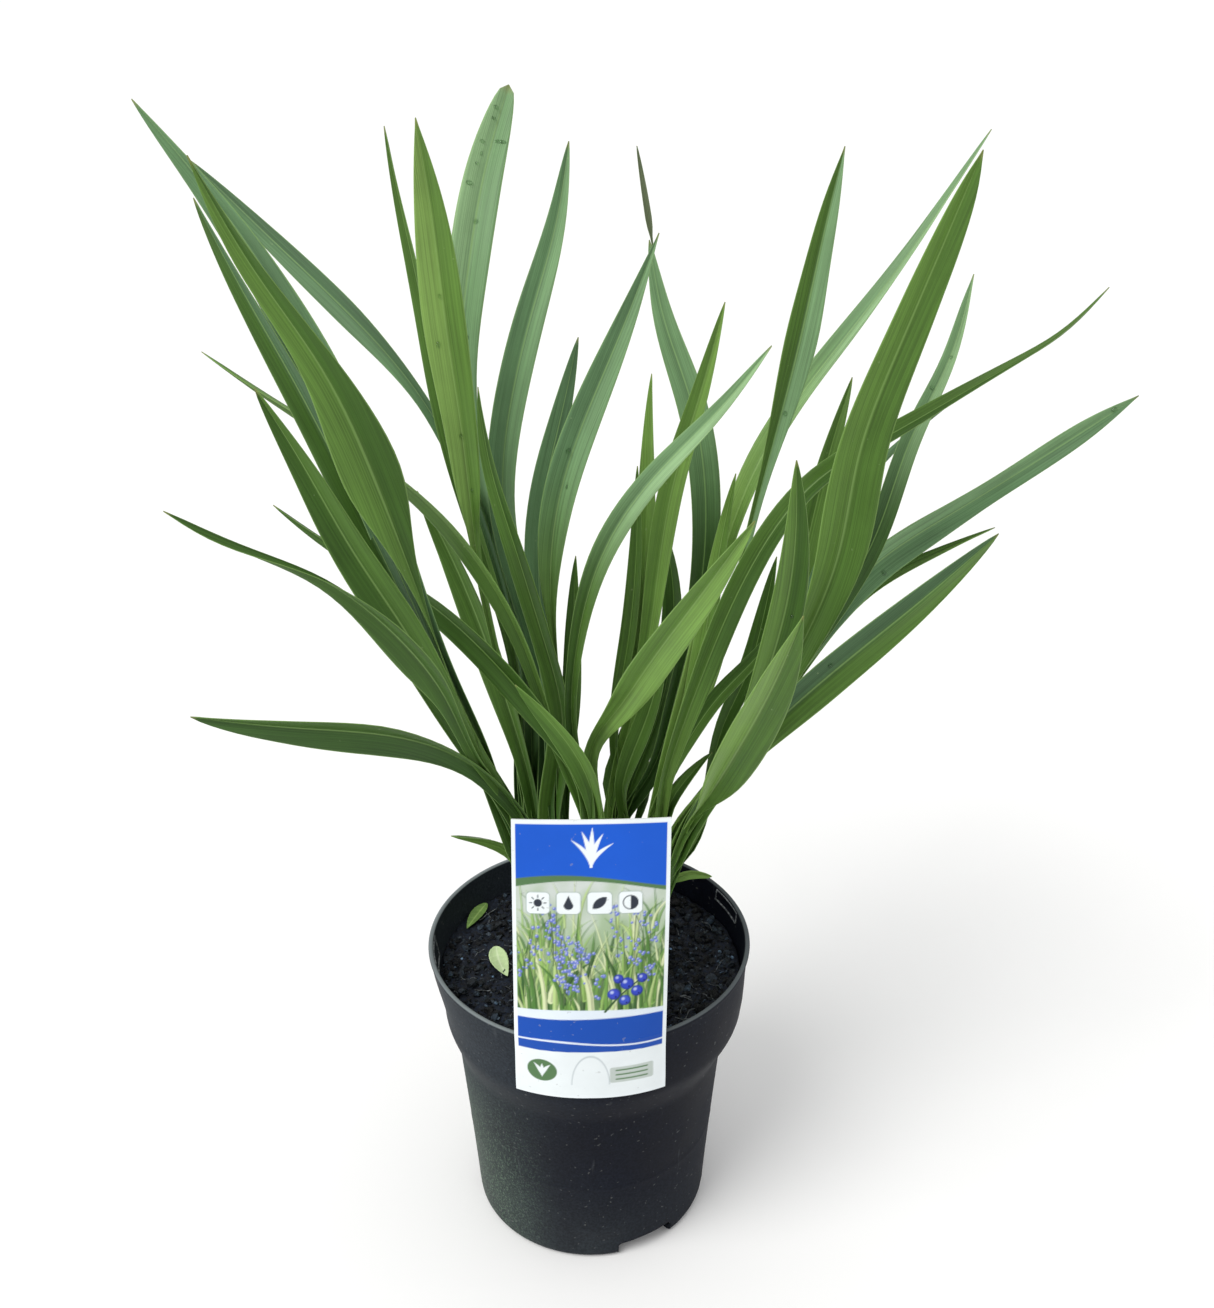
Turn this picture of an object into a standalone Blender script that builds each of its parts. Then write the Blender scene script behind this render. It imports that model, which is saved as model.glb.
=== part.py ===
"""Potted flax lily: nine fans of strap leaves in a soft black nursery pot with a card label.

Every length is in millimetres and is turned into metres when a mesh is made.
The pot stands on z = 0 with its axis on x = y = 0, and the label faces -Y.
"""
import math
from collections import namedtuple

import bmesh
import bpy
import numpy as np

MM = 0.001
GAP = 0.3                   # air between two pieces that touch
WELD = 0.0001               # points closer than this become one

# pot
RIM_Z = 140.0
RIM_R = 70.2
COLLAR_FOOT_Z = 109.0
COLLAR_FOOT_R = 66.3
SHOULDER_Z = 86.0
SHOULDER_R = 59.3
BASE_R = 53.0
BASE_FILLET = 3.2
FILLET_STEPS = 3
INNER_FILLET = 1.0
LIP_ROUND = 0.8
LIP_FLAT = 0.3              # share of the wall that the lip is rounded off by on each side
WALL = 1.6
COLLAR_SKEW = 1.6           # the soft collar is pushed this far towards +X
SKEW_Z = 111.0
SKEW_SPREAD = 24.0
POT_SIDES = 48
BODY_BOW = 1.15             # the body's wall is straight at 1 and bows in above 1
SHOULDER_BOW = 0.9
BODY_RINGS = 2              # rings of points on each stretch of the wall above its foot
SHOULDER_RINGS = 4
COLLAR_RINGS = 3
LOW_RING_Z = 14.0
NOTCH_HEIGHT = 8.0
NOTCH_SPAN = 30.0           # degrees of the wall that one drain notch takes
NOTCH_DEPTH = 9.0
NOTCH_ANGLES = (-62.0, 58.0, 178.0)
GROOVE_ANGLES = (-138.0, -96.0)
GROOVE_WIDTH = 1.2
GROOVE_DEPTH = 0.6
GROOVE_HEIGHT = 14.0
WEDGE_COLUMNS = 5
CUT_PAST = 4.0              # a cutting block reaches this far past the wall

# soil
SOIL_Z = 125.0
SOIL_SWELL = 0.6
SWELL_X = 13.0
SWELL_Y = 16.0
SWELL_SHIFT = 0.5
LEVEL_FROM_R = 52.0
LEVEL_AT_R = 64.0
SOIL_FOOT_INSET = 2.5       # the block is this much smaller at its foot, inside the pot's inner corner
HOLE_DEEPER = 0.5
HOLE_PAST = 8.0
SOIL_SIDES = 48
SOIL_RINGS = 4
FOOT_Z = 112.0              # underside of each shoot, down in its hole
FOOT_A = 5.2
FOOT_B = 4.0
FOOT_SIDES = 10
CORE_LEVELS = 4
HOLE_SIDES = 16

# leaves
SPRING_Z = 128.0            # where the leaves leave the shoot's foot
BLADE = 0.65
BLADE_SIDES = 6             # points round a blade: left, midrib, right, and the same three beneath
END_CAP = ((0, 1, 5), (1, 4, 5), (1, 2, 4), (2, 3, 4))
RISING_SIDES = (0, 3, 5)    # the sides that are split along their rising diagonal
LEAST_SECTIONS = 5          # a leaf has this many cross-sections, and one more for each step of length
LENGTH_PER_SECTION = 52.0
TIP_CROWDING = 1.15         # cross-sections lie closer together towards the tip above 1
TIP_HALF = 0.4
FAN_STEP = 1.6              # sideways step from one leaf of a fan to the next
FAN_STAGGER = 0.7           # every second leaf starts this much further back
LEAF_START = 0.70           # share of the way from foot to throat where the upper leaves part
LOW_START = 0.40            # the same for the small low leaves
LOW_LEAF = 10.0             # a low leaf has its first point less than this above the throat
START_SPREAD = 0.5          # how far apart the leaves are at their start against the throat
THROAT_SIZE = 0.55          # size of the shoot's base at its throat against its foot
NECK = 0.52                 # usual width of a blade at its neck against its widest place
NECK_AT = 0.45              # usual place of the neck on the way to the widest place
FOOT_SHARE = 0.34           # usual width of a blade at its foot against its widest place
FOOT_FOLD = 58.0            # degrees that each half of a blade is folded up at its foot
NECK_FOLD = 46.0
WIDE_FOLD = 24.0
TIP_FOLD = 34.0
NECK_FOLD_AT = 0.35         # share of the way to the widest place that has the neck's fold
TIP_FOLD_FROM = 0.85        # share of the length above which the blade folds up again to its tip
TURN_FROM = 0.30            # share of the length where a face begins to turn
TURN_MIDDLE = 0.65          # share of the length that has the middle one of a leaf's three turns
SHAPE_STRETCH = 100.0       # length of a leaf against its width where its shape is smoothed
SHAPE_STEPS = 101

# label
CARD = 0.6
CARD_WIDTH = 62.5
CARD_LOW_Z = 108.5
CARD_TOP_Z = 238.0
CARD_LEAN = 13.0
CARD_SHIFT = 1.2            # the top edge sits this far towards +X
CARD_COLUMNS = 12
CARD_LOW_ROWS = 2
CARD_HIGH_ROWS = 8
BEND_ABOVE = 1.0            # the card begins to lean back this far above the rim
LEAN_BOW = 1.2              # the lean grows evenly at 1 and later above 1
CURL_LOST = 0.85            # how much of the rim's curve the card has lost
CURL_LOST_AT = 0.75         # at this share of its height above the rim
TONGUE_WIDTH = 26.0
TONGUE_LOW_Z = 127.0
TONGUE_COLUMNS = 5

Leaf = namedtuple("Leaf", "name width widest tip turn route neck neck_at foot shape",
                  defaults=(NECK, NECK_AT, FOOT_SHARE, ()))
Shoot = namedtuple("Shoot", "foot throat leaves")

# Each leaf: its width, where along it that width is, how blunt its tip is (low is blunt),
# the turn of its face from the front in degrees at base, middle and tip,
# the points that its midrib passes between the shoot's throat and its tip,
# and, where they aren't the usual ones, the share of its width at its neck,
# where the neck is on the way to the widest place, and the share of its width at its foot.
# A leaf with a shape of its own has widths at shares of its length in place of these.
SHOOTS = {
    "shoot_1": Shoot((-15, -10), (-26, -14, 200), (
        Leaf("a", 19, 0.62, 0.80, (10, 10, 20),
             ((-42, -20, 249), (-55, -24, 289), (-70, -20, 337), (-88, -12, 387), (-106, 0, 420),
              (-132, 15, 456), (-157, 25, 485))),
        Leaf("b", 20, 0.65, 0.85, (0, -10, 15),
             ((-43, -34, 259), (-58, -48, 323), (-71, -56, 375), (-84, -64, 415), (-101, -70, 448),
              (-115, -75, 481)),
             shape=((0.0, 4), (0.50, 4), (0.58, 13), (0.65, 20), (0.74, 15), (0.81, 10), (0.91, 6.5),
                    (1.0, 0))),
        Leaf("c", 14, 0.62, 0.75, (20, 20, 20),
             ((-44, -24, 251), (-66, -26, 311), (-84, -20, 354), (-102, -14, 394), (-119, -5, 425),
              (-136, 10, 454))),
        Leaf("d", 17, 0.60, 0.75, (0, 0, 10),
             ((-45, -30, 255), (-65, -33, 302), (-84, -35, 340), (-99, -36, 374),
              (-112, -35, 399))),
        Leaf("e", 17, 0.60, 0.75, (0, 20, 80),
             ((-42, -42, 255), (-52, -64, 298), (-67, -76, 328), (-87, -84, 350), (-110, -90, 364),
              (-131, -95, 378)),
             shape=((0.0, 5), (0.42, 5), (0.50, 7.5), (0.60, 14), (0.70, 11), (0.82, 6.5), (0.93, 5),
                    (1.0, 0))),
        Leaf("f", 17, 0.66, 0.75, (10, 15, 20),
             ((-34, -28, 233), (-52, -46, 261), (-73, -60, 277), (-106, -66, 284),
              (-141, -65, 288)), 0.48, 0.55),
        Leaf("g", 8, 0.60, 0.75, (0, 20, 40),
             ((-35, -13, 196), (-56, -20, 206))),
    )),
    "shoot_2": Shoot((-17, 15), (-25, 20, 182), (
        Leaf("a", 11.5, 0.74, 0.75, (0, 0, -10),
             ((-29, 30, 242), (-41, 44, 310), (-63, 64, 358), (-96, 88, 392), (-131, 110, 420),
              (-165, 130, 448)), 0.50, 0.78),
        Leaf("b", 9, 0.65, 0.75, (20, 30, 40),
             ((-28, 22, 246), (-41, 26, 313), (-54, 32, 365), (-62, 42, 410), (-69, 52, 445),
              (-74, 60, 471))),
        Leaf("c", 16, 0.72, 0.75, (0, 0, 0),
             ((-33, 18, 248), (-42.5, 18, 308), (-46.5, 18, 362), (-51, 18, 408), (-54, 17, 448),
              (-57, 12, 480)),
             shape=((0.0, 4), (0.44, 3.2), (0.51, 5), (0.56, 9), (0.66, 13), (0.79, 15.8), (0.87, 13),
                    (0.94, 7.5), (1.0, 0))),
        Leaf("d", 18, 0.82, 0.42, (0, 0, 0),
             ((-25, 34, 244), (-43, 50, 325), (-50, 62, 377), (-46, 76, 414), (-39, 95, 449),
              (-29, 110, 480)), 0.52, 0.45, 0.46),
        Leaf("e", 14, 0.60, 0.75, (20, 20, 20),
             ((-31, 15, 240), (-43, 24, 278), (-57, 32, 313), (-68, 40, 333))),
    )),
    "shoot_3": Shoot((4, -20), (2, -26, 208), (
        Leaf("a", 12.5, 0.50, 0.75, (10, 15, 40),
             ((-2, -28, 239), (-15, -26, 261), (-36, -18, 285), (-64, -6, 307), (-97, 4, 324),
              (-120, 10, 339))),
        Leaf("b", 10, 0.55, 0.75, (20, 35, 60),
             ((-12, -16, 248), (-24, -8, 285), (-46, 6, 322), (-73, 26, 343), (-116, 50, 363),
              (-156, 72, 382))),
        Leaf("c", 10, 0.60, 0.75, (10, 10, 10),
             ((-1, -32, 243), (-12, -34, 264), (-27, -34, 283))),
    )),
    "shoot_4": Shoot((-3, 14), (-13, 14, 186), (
        Leaf("a", 14, 0.70, 0.75, (10, 10, 10),
             ((-16, 21, 228), (-20, 27, 267), (-33, 37, 330), (-29, 48, 368), (-20, 62, 401),
              (-10, 78, 433), (-5, 90, 461)), 0.62, 0.45, 0.56),
        Leaf("b", 15, 0.55, 0.75, (20, 20, 30),
             ((-10, 10, 238), (-17, 8, 281), (-28, 4, 326), (-36, 4, 359), (-39, 4, 387)),
             shape=((0.0, 8), (0.35, 10.5), (0.50, 8.8), (0.65, 8.8), (0.80, 6.8), (0.90, 4.8),
                    (1.0, 0))),
        Leaf("c", 12, 0.70, 0.75, (20, 20, 10),
             ((-15, 18, 253), (-19, 26, 299), (-16, 34, 335), (-9, 42, 364), (-2, 50, 393))),
        Leaf("d", 15, 0.75, 0.75, (10, 10, 10),
             ((-11, 12, 251), (-14, 10, 298), (-9, 8, 345), (3, 5, 381), (17, 5, 415), (27, 5, 442)),
             shape=((0.0, 4), (0.44, 4), (0.55, 10.3), (0.68, 12.8), (0.85, 9), (1.0, 0))),
        Leaf("e", 9, 0.60, 0.75, (10, 20, 20),
             ((-6, 18, 248), (-5, 24, 282), (-4, 28, 309))),
    )),
    "shoot_5": Shoot((8, -4), (5, -8, 198), (
        Leaf("a", 9.5, 0.66, 0.75, (10, 20, 30),
             ((-5, -8, 241), (-4, -16, 288), (8, -34, 340), (26, -50, 374), (45, -62, 400),
              (59, -70, 422))),
        Leaf("b", 15.5, 0.60, 0.75, (0, 0, 0),
             ((1, -14, 238), (10, -34, 270), (24, -64, 310), (38, -86, 344), (52, -105, 377)),
             0.42, 0.50, 0.24),
    )),
    "shoot_6": Shoot((14, 24), (15, 24, 179), (
        Leaf("a", 10.5, 0.58, 0.75, (20, 20, 40),
             ((17, 28, 222), (22, 32, 264), (25, 40, 306), (26, 45, 341), (27, 50, 378))),
        Leaf("b", 11, 0.65, 0.75, (20, 20, 20),
             ((22, 26, 248), (29, 24, 300), (35, 20, 344), (44, 18, 379), (52, 15, 415))),
        Leaf("c", 14, 0.70, 0.75, (0, 0, 0),
             ((27, 28, 205), (37, 36, 233), (48, 48, 279), (51, 62, 320), (45, 78, 358),
              (34, 92, 389), (28, 106, 419)), 0.72),
        Leaf("d", 12, 0.55, 0.75, (30, 30, 20),
             ((29, 36, 223), (37, 48, 256), (37, 60, 288), (31, 70, 313)), 0.70),
        Leaf("e", 8, 0.60, 0.75, (30, 30, 20),
             ((12, 26, 224), (17, 30, 265), (21, 34, 313), (21, 34, 345))),
        Leaf("f", 10, 0.60, 0.75, (30, 30, 20),
             ((15, 16, 205), (24, 14, 238), (33, 14, 277))),
        Leaf("g", 9, 0.60, 0.75, (30, 30, 20),
             ((11, 24, 197), (15, 28, 217), (20, 34, 239))),
        Leaf("h", 5, 0.60, 0.75, (30, 30, 30),
             ((25, 28, 192), (26, 34, 206), (24, 42, 217))),
    )),
    "shoot_7": Shoot((18, 3), (29, 6, 188), (
        Leaf("a", 12.5, 0.72, 0.75, (0, 0, 10),
             ((35, 6, 220), (51, 8, 262), (63, 12, 318), (73, 18, 361), (81.5, 22, 399),
              (88, 25, 435), (94, 25, 468)),
             shape=((0.0, 4), (0.49, 3.2), (0.59, 4.2), (0.70, 9.8), (0.77, 12.2), (0.85, 9.9),
                    (0.93, 6.3), (1.0, 0))),
        Leaf("b", 11, 0.56, 0.75, (20, 50, 75),
             ((41, 16, 253), (53, 28, 298), (68, 44, 336), (89, 64, 364), (113, 82, 389),
              (142, 98, 424), (168, 110, 462))),
        Leaf("c", 9, 0.60, 0.75, (20, 20, 20),
             ((43, 14, 247), (51, 22, 291), (57, 28, 328), (60, 30, 343))),
        Leaf("d", 11, 0.38, 0.75, (0, 50, 86),
             ((32, -8, 224), (45, -10, 272), (64, -4, 318), (88, 6, 348), (115, 16, 362),
              (143, 23, 376), (163, 26, 387), (182, 28, 399), (198, 30, 416))),
        Leaf("e", 8, 0.60, 0.75, (10, 40, 60),
             ((32, 2, 213), (42, 2, 238), (54, 5, 256), (68, 8, 271), (86, 14, 296))),
        Leaf("f", 7, 0.60, 0.75, (20, 40, 60),
             ((35, 0, 209), (44, 2, 222), (52, 6, 229))),
    )),
    "shoot_8": Shoot((25, 13), (41, 8, 185), (
        Leaf("a", 18, 0.58, 0.75, (0, 0, 0),
             ((57, -2, 226), (81, -5, 275), (96.5, -8, 326), (101.5, -8, 366), (111.5, -8, 401),
              (125, -6, 439), (136, -5, 471)),
             shape=((0.0, 5), (0.30, 7), (0.47, 15), (0.57, 20), (0.66, 18.6), (0.78, 15), (0.89, 11.5),
                    (0.95, 7.5), (1.0, 0))),
        Leaf("b", 11, 0.54, 0.75, (10, 10, 50),
             ((61, 14, 220), (89, 24, 263), (119, 38, 311), (133.5, 52, 349), (149, 64, 379),
              (158, 75, 411)),
             shape=((0.0, 4), (0.40, 8), (0.62, 9.2), (0.76, 8.2), (0.86, 6.4), (0.95, 4), (1.0, 0))),
        Leaf("c", 15.5, 0.58, 0.75, (0, 0, 30),
             ((60, 14, 219), (85, 30, 252), (120, 54, 289), (158, 70, 309), (201, 82, 332),
              (239, 90, 355)),
             shape=((0.0, 5), (0.35, 8), (0.52, 15), (0.62, 14.5), (0.75, 10), (0.90, 8.5), (1.0, 0))),
        Leaf("d", 8, 0.60, 0.75, (20, 40, 75),
             ((62, 16, 218), (88, 34, 248), (122, 56, 280), (150, 66, 291), (179, 74, 301))),
        Leaf("e", 5.2, 0.55, 0.55, (0, 0, 0),
             ((37, 12, 160), (44.7, 13, 162.5), (54.5, 13.5, 160.5))),
        Leaf("f", 13, 0.60, 0.75, (0, 0, 0),
             ((70, 22, 240), (87, 38, 284), (95, 50, 315), (103, 60, 346), (111, 70, 370))),
        Leaf("g", 8, 0.50, 0.75, (0, 60, 85),
             ((71, 22, 245), (93, 34, 285), (108, 44, 322), (128, 56, 343), (158, 70, 363))),
        Leaf("h", 9, 0.66, 0.75, (10, 20, 30),
             ((57, 17, 234), (67, 22, 257), (73, 26, 280), (78, 30, 307))),
    )),
    "shoot_9": Shoot((20, -10), (38, -14, 198), (
        Leaf("a", 14, 0.66, 0.75, (0, 0, 0),
             ((51, -24, 234), (65, -40, 283), (71, -54, 327), (71, -64, 357), (69, -70, 384))),
        Leaf("b", 15, 0.70, 0.75, (0, 0, 0),
             ((44, -40, 232), (55, -68, 276), (63, -92, 315), (68, -110, 347)),
             shape=((0.0, 4.5), (0.34, 4.5), (0.48, 13.5), (0.76, 15), (0.88, 10), (1.0, 0))),
        Leaf("c", 16, 0.60, 0.75, (10, 10, 20),
             ((51, -24, 231), (71, -28, 260), (100, -28, 290), (131, -24, 317), (153, -20, 337))),
    )),
}
# a dry thread hangs on from the tip of one leaf of shoot_6
WISP = Leaf("wisp", 3, 0.30, 0.60, (0, 0, 0), ((30, 103, 413), (27, 110, 432), (23, 118, 455)))
WISP_SHOOT = "shoot_6"

# fallen leaves on the soil: tip, middle and tail in plan, and width
FALLEN = {
    "fallen_leaf_1": (((-48, 43), (-52, 34), (-56, 24)), 6.0),
    "fallen_leaf_2": (((-42, 11), (-40, 0), (-36, -10)), 8.0),
}
FALLEN_SECTIONS = 9
FALLEN_CUP = 0.8
FALLEN_LIFT = 0.45          # clear of the soil under the middle of the blade
FALLEN_THICK = 0.6
FALLEN_BOW = 0.8            # below 1 the blade is widest nearer its first end, with full flanks
FALLEN_TIP_HALF = 0.5


def clear_scene():
    """Remove every object that the start-up file brought."""
    for item in list(bpy.data.objects):
        bpy.data.objects.remove(item, do_unlink=True)


def material(name, colour, roughness):
    """Give a plain material of one colour."""
    made = bpy.data.materials.new(name)
    made.use_nodes = True
    shader = made.node_tree.nodes["Principled BSDF"]
    shader.inputs["Base Color"].default_value = (*colour, 1.0)
    shader.inputs["Roughness"].default_value = roughness
    shader.inputs["Metallic"].default_value = 0.0
    made.diffuse_color = (*colour, 1.0)
    return made


def pot_plastic():
    return material("pot_plastic", (0.012, 0.013, 0.016), 0.38)


def potting_mix():
    return material("potting_mix", (0.030, 0.024, 0.019), 0.95)


def leaf_green():
    return material("leaf_green", (0.085, 0.190, 0.045), 0.45)


def fallen_green():
    return material("fallen_green", (0.170, 0.240, 0.070), 0.60)


def card():
    return material("card", (0.780, 0.800, 0.800), 0.35)


def add_mesh(name, points, faces, look, smooth=False):
    """Make one object from points in millimetres."""
    mesh = bpy.data.meshes.new(name)
    mesh.from_pydata([tuple(float(v) * MM for v in p) for p in points], [], faces)
    mesh.update()
    mesh.materials.append(look)
    body = bpy.data.objects.new(name, mesh)
    bpy.context.collection.objects.link(body)
    face_out(body)
    for face in mesh.polygons:
        face.use_smooth = smooth
    return body


def face_out(body):
    """Point every face of a body away from its inside."""
    shape = bmesh.new()
    shape.from_mesh(body.data)
    bmesh.ops.recalc_face_normals(shape, faces=shape.faces)
    if shape.calc_volume(signed=True) < 0:
        bmesh.ops.reverse_faces(shape, faces=shape.faces)
    shape.to_mesh(body.data)
    shape.free()


def smoothstep(value):
    """Rise smoothly from 0 to 1."""
    held = np.clip(value, 0.0, 1.0)
    return held * held * (3.0 - 2.0 * held)


# Pot and soil

def outer_radius(z):
    """Radius of the pot's outside at a height, before the collar is pushed over."""
    collar = COLLAR_FOOT_R + (RIM_R - COLLAR_FOOT_R) * (z - COLLAR_FOOT_Z) / (RIM_Z - COLLAR_FOOT_Z)
    body = BASE_R + (SHOULDER_R - BASE_R) * (z / SHOULDER_Z) ** BODY_BOW
    shoulder = SHOULDER_R + (COLLAR_FOOT_R - SHOULDER_R) * smoothstep(
        (z - SHOULDER_Z) / (COLLAR_FOOT_Z - SHOULDER_Z)) ** SHOULDER_BOW
    if z >= COLLAR_FOOT_Z:
        return collar
    if z >= SHOULDER_Z:
        return shoulder
    return body


def push(z, angle):
    """How far the collar's wall is moved outwards at one place by its skew."""
    rise = smoothstep(1.0 - abs(z - SKEW_Z) / SKEW_SPREAD)
    return COLLAR_SKEW * math.cos(angle) * float(rise)


def wall_heights():
    """Heights of the rings of points up the wall, from above its foot to below its lip."""
    body = np.linspace(LOW_RING_Z, SHOULDER_Z, BODY_RINGS, endpoint=False)
    shoulder = np.linspace(SHOULDER_Z, COLLAR_FOOT_Z, SHOULDER_RINGS, endpoint=False)
    collar = np.linspace(COLLAR_FOOT_Z, RIM_Z - LIP_ROUND, COLLAR_RINGS + 1)
    return [*body, *shoulder, *collar]


def pot_profile():
    """Radius and height down the outside of the pot and up its inside."""
    fillet_at = BASE_R - BASE_FILLET
    outline = []
    for step in range(FILLET_STEPS + 1):
        turn = math.pi / 2.0 * step / FILLET_STEPS
        outline.append((fillet_at + BASE_FILLET * math.sin(turn), BASE_FILLET * (1.0 - math.cos(turn))))
    for z in wall_heights():
        outline.append((outer_radius(z), z))
    outline.append((RIM_R - WALL * LIP_FLAT, RIM_Z))
    outline.append((RIM_R - WALL * (1.0 - LIP_FLAT), RIM_Z))
    for z in reversed(wall_heights()):
        outline.append((outer_radius(z) - WALL, z))
    outline.append((outer_radius(WALL) - WALL, WALL + INNER_FILLET))
    outline.append((outer_radius(WALL) - WALL - INNER_FILLET, WALL))
    return outline


def ring(radius, z, sides, pushed=True):
    """Points once round the axis at one height."""
    points = []
    for step in range(sides):
        angle = 2.0 * math.pi * step / sides
        reach = radius + (push(z, angle) if pushed else 0.0)
        points.append((reach * math.cos(angle), reach * math.sin(angle), z))
    return points


def lathe_faces(rings, sides):
    """Quads between rings, with the first and last ring closed by a fan to a middle point."""
    faces = []
    for row in range(rings - 1):
        for step in range(sides):
            after = (step + 1) % sides
            faces.append((row * sides + step, row * sides + after,
                          (row + 1) * sides + after, (row + 1) * sides + step))
    first, last = rings * sides, rings * sides + 1
    top = (rings - 1) * sides
    for step in range(sides):
        after = (step + 1) % sides
        faces.append((first, after, step))
        faces.append((last, top + step, top + after))
    return faces


def wedge(name, angle, span, inner, outer, low, high, look):
    """A block between two radii and two heights that takes part of a turn."""
    columns = WEDGE_COLUMNS
    points = []
    for column in range(columns):
        turn = math.radians(angle + span * (column / (columns - 1) - 0.5))
        for radius, z in ((inner, low), (outer, low), (outer, high), (inner, high)):
            points.append((radius * math.cos(turn), radius * math.sin(turn), z))
    faces = [(0, 1, 2, 3), tuple(range(4 * columns - 1, 4 * columns - 5, -1))]
    for column in range(columns - 1):
        here, there = 4 * column, 4 * column + 4
        for side in range(4):
            after = (side + 1) % 4
            faces.append((here + side, there + side, there + after, here + after))
    return add_mesh(name, points, faces, look)


def join(body, parts, operation):
    """Fuse parts with a body, or cut them from it, and remove them."""
    pool = bpy.data.collections.new(body.name + "_pool")
    bpy.context.scene.collection.children.link(pool)
    for part in parts:
        for owner in list(part.users_collection):
            owner.objects.unlink(part)
        pool.objects.link(part)
    modifier = body.modifiers.new("join", "BOOLEAN")
    modifier.operation = operation
    modifier.operand_type = "COLLECTION"
    modifier.collection = pool
    modifier.solver = "MANIFOLD"
    bpy.context.view_layer.update()
    result = bpy.data.meshes.new_from_object(body.evaluated_get(bpy.context.evaluated_depsgraph_get()))
    body.modifiers.clear()
    body.data = result
    for part in parts:
        bpy.data.objects.remove(part, do_unlink=True)
    bpy.data.collections.remove(pool)
    return body


def tidy(body):
    """Drop scraps and sealed hollows, and split into triangles."""
    shape = bmesh.new()
    shape.from_mesh(body.data)
    bmesh.ops.remove_doubles(shape, verts=shape.verts, dist=WELD * MM)
    bmesh.ops.dissolve_degenerate(shape, edges=shape.edges, dist=WELD * MM)
    bmesh.ops.delete(shape, geom=[edge for edge in shape.edges if not edge.link_faces], context="EDGES")
    bmesh.ops.triangulate(shape, faces=shape.faces)
    keep_largest(shape)
    shape.to_mesh(body.data)
    shape.free()
    body.data.update()
    return body


def keep_largest(shape):
    """Keep only the biggest set of joined faces."""
    left = set(shape.faces)
    groups = []
    while left:
        start = left.pop()
        group = {start}
        front = [start]
        while front:
            face = front.pop()
            for edge in face.edges:
                for other in edge.link_faces:
                    if other in left:
                        left.discard(other)
                        group.add(other)
                        front.append(other)
        groups.append(group)
    groups.sort(key=len, reverse=True)
    for group in groups[1:]:
        bmesh.ops.delete(shape, geom=list(group), context="FACES")


def build_pot():
    """The thin pot with its collar, drain notches and two fine grooves."""
    look = pot_plastic()
    profile = pot_profile()
    points = []
    for radius, z in profile:
        points.extend(ring(radius, z, POT_SIDES))
    points.append((0.0, 0.0, profile[0][1]))
    points.append((0.0, 0.0, profile[-1][1]))
    pot = add_mesh("pot", points, lathe_faces(len(profile), POT_SIDES), look, smooth=True)
    cutters = []
    for angle in NOTCH_ANGLES:
        cutters.append(wedge("notch", angle, NOTCH_SPAN, BASE_R - NOTCH_DEPTH, BASE_R + CUT_PAST,
                             -CUT_PAST, NOTCH_HEIGHT, look))
    for angle in GROOVE_ANGLES:
        span = math.degrees(GROOVE_WIDTH / BASE_R)
        floor = outer_radius(GROOVE_HEIGHT / 2.0) - GROOVE_DEPTH
        cutters.append(wedge("groove", angle, span, floor, BASE_R + CUT_PAST, BASE_FILLET,
                             GROOVE_HEIGHT, look))
    return tidy(join(pot, cutters, "DIFFERENCE"))


def soil_height(x, y):
    """Height of the soil's gently uneven top, level where it meets the wall."""
    inside = 1.0 - smoothstep((math.hypot(x, y) - LEVEL_FROM_R) / (LEVEL_AT_R - LEVEL_FROM_R))
    swell = math.sin(x / SWELL_X + SWELL_SHIFT) * math.cos(y / SWELL_Y - SWELL_SHIFT)
    return SOIL_Z + SOIL_SWELL * float(inside) * swell


def build_soil():
    """The block of potting mix, with a plain hole for each shoot."""
    look = potting_mix()
    low = WALL + GAP
    points = []
    heights = [low, *(z for z in wall_heights() if LOW_RING_Z < z < SOIL_Z - 1.0), SOIL_Z]
    for z in heights:
        inset = WALL + GAP + (SOIL_FOOT_INSET if z == low else 0.0)
        points.extend(ring(outer_radius(z) - inset, z, SOIL_SIDES))
    edge = outer_radius(SOIL_Z) - WALL - GAP
    for step in range(1, SOIL_RINGS):
        for x, y, _ in ring(edge * (1.0 - step / SOIL_RINGS), SOIL_Z, SOIL_SIDES, pushed=False):
            points.append((x, y, soil_height(x, y)))
    points.append((0.0, 0.0, low))
    points.append((0.0, 0.0, soil_height(0.0, 0.0)))
    rings = len(heights) + SOIL_RINGS - 1
    soil = add_mesh("soil", points, lathe_faces(rings, SOIL_SIDES), look)
    cutters = []
    for shoot in SHOOTS.values():
        x, y = shoot.foot
        cutters.append(prism("hole", (x, y), FOOT_A + GAP, FOOT_B + GAP, FOOT_Z - HOLE_DEEPER,
                             SOIL_Z + HOLE_PAST, HOLE_SIDES, look))
    return tidy(join(soil, cutters, "DIFFERENCE"))


def prism(name, centre, semi_a, semi_b, low, high, sides, look):
    """An upright elliptical block."""
    points = []
    for z in (low, high):
        for step in range(sides):
            turn = 2.0 * math.pi * step / sides
            points.append((centre[0] + semi_a * math.cos(turn), centre[1] + semi_b * math.sin(turn), z))
    faces = [tuple(range(sides - 1, -1, -1)), tuple(range(sides, 2 * sides))]
    for step in range(sides):
        after = (step + 1) % sides
        faces.append((step, after, sides + after, sides + step))
    return add_mesh(name, points, faces, look)


# Leaves

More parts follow.
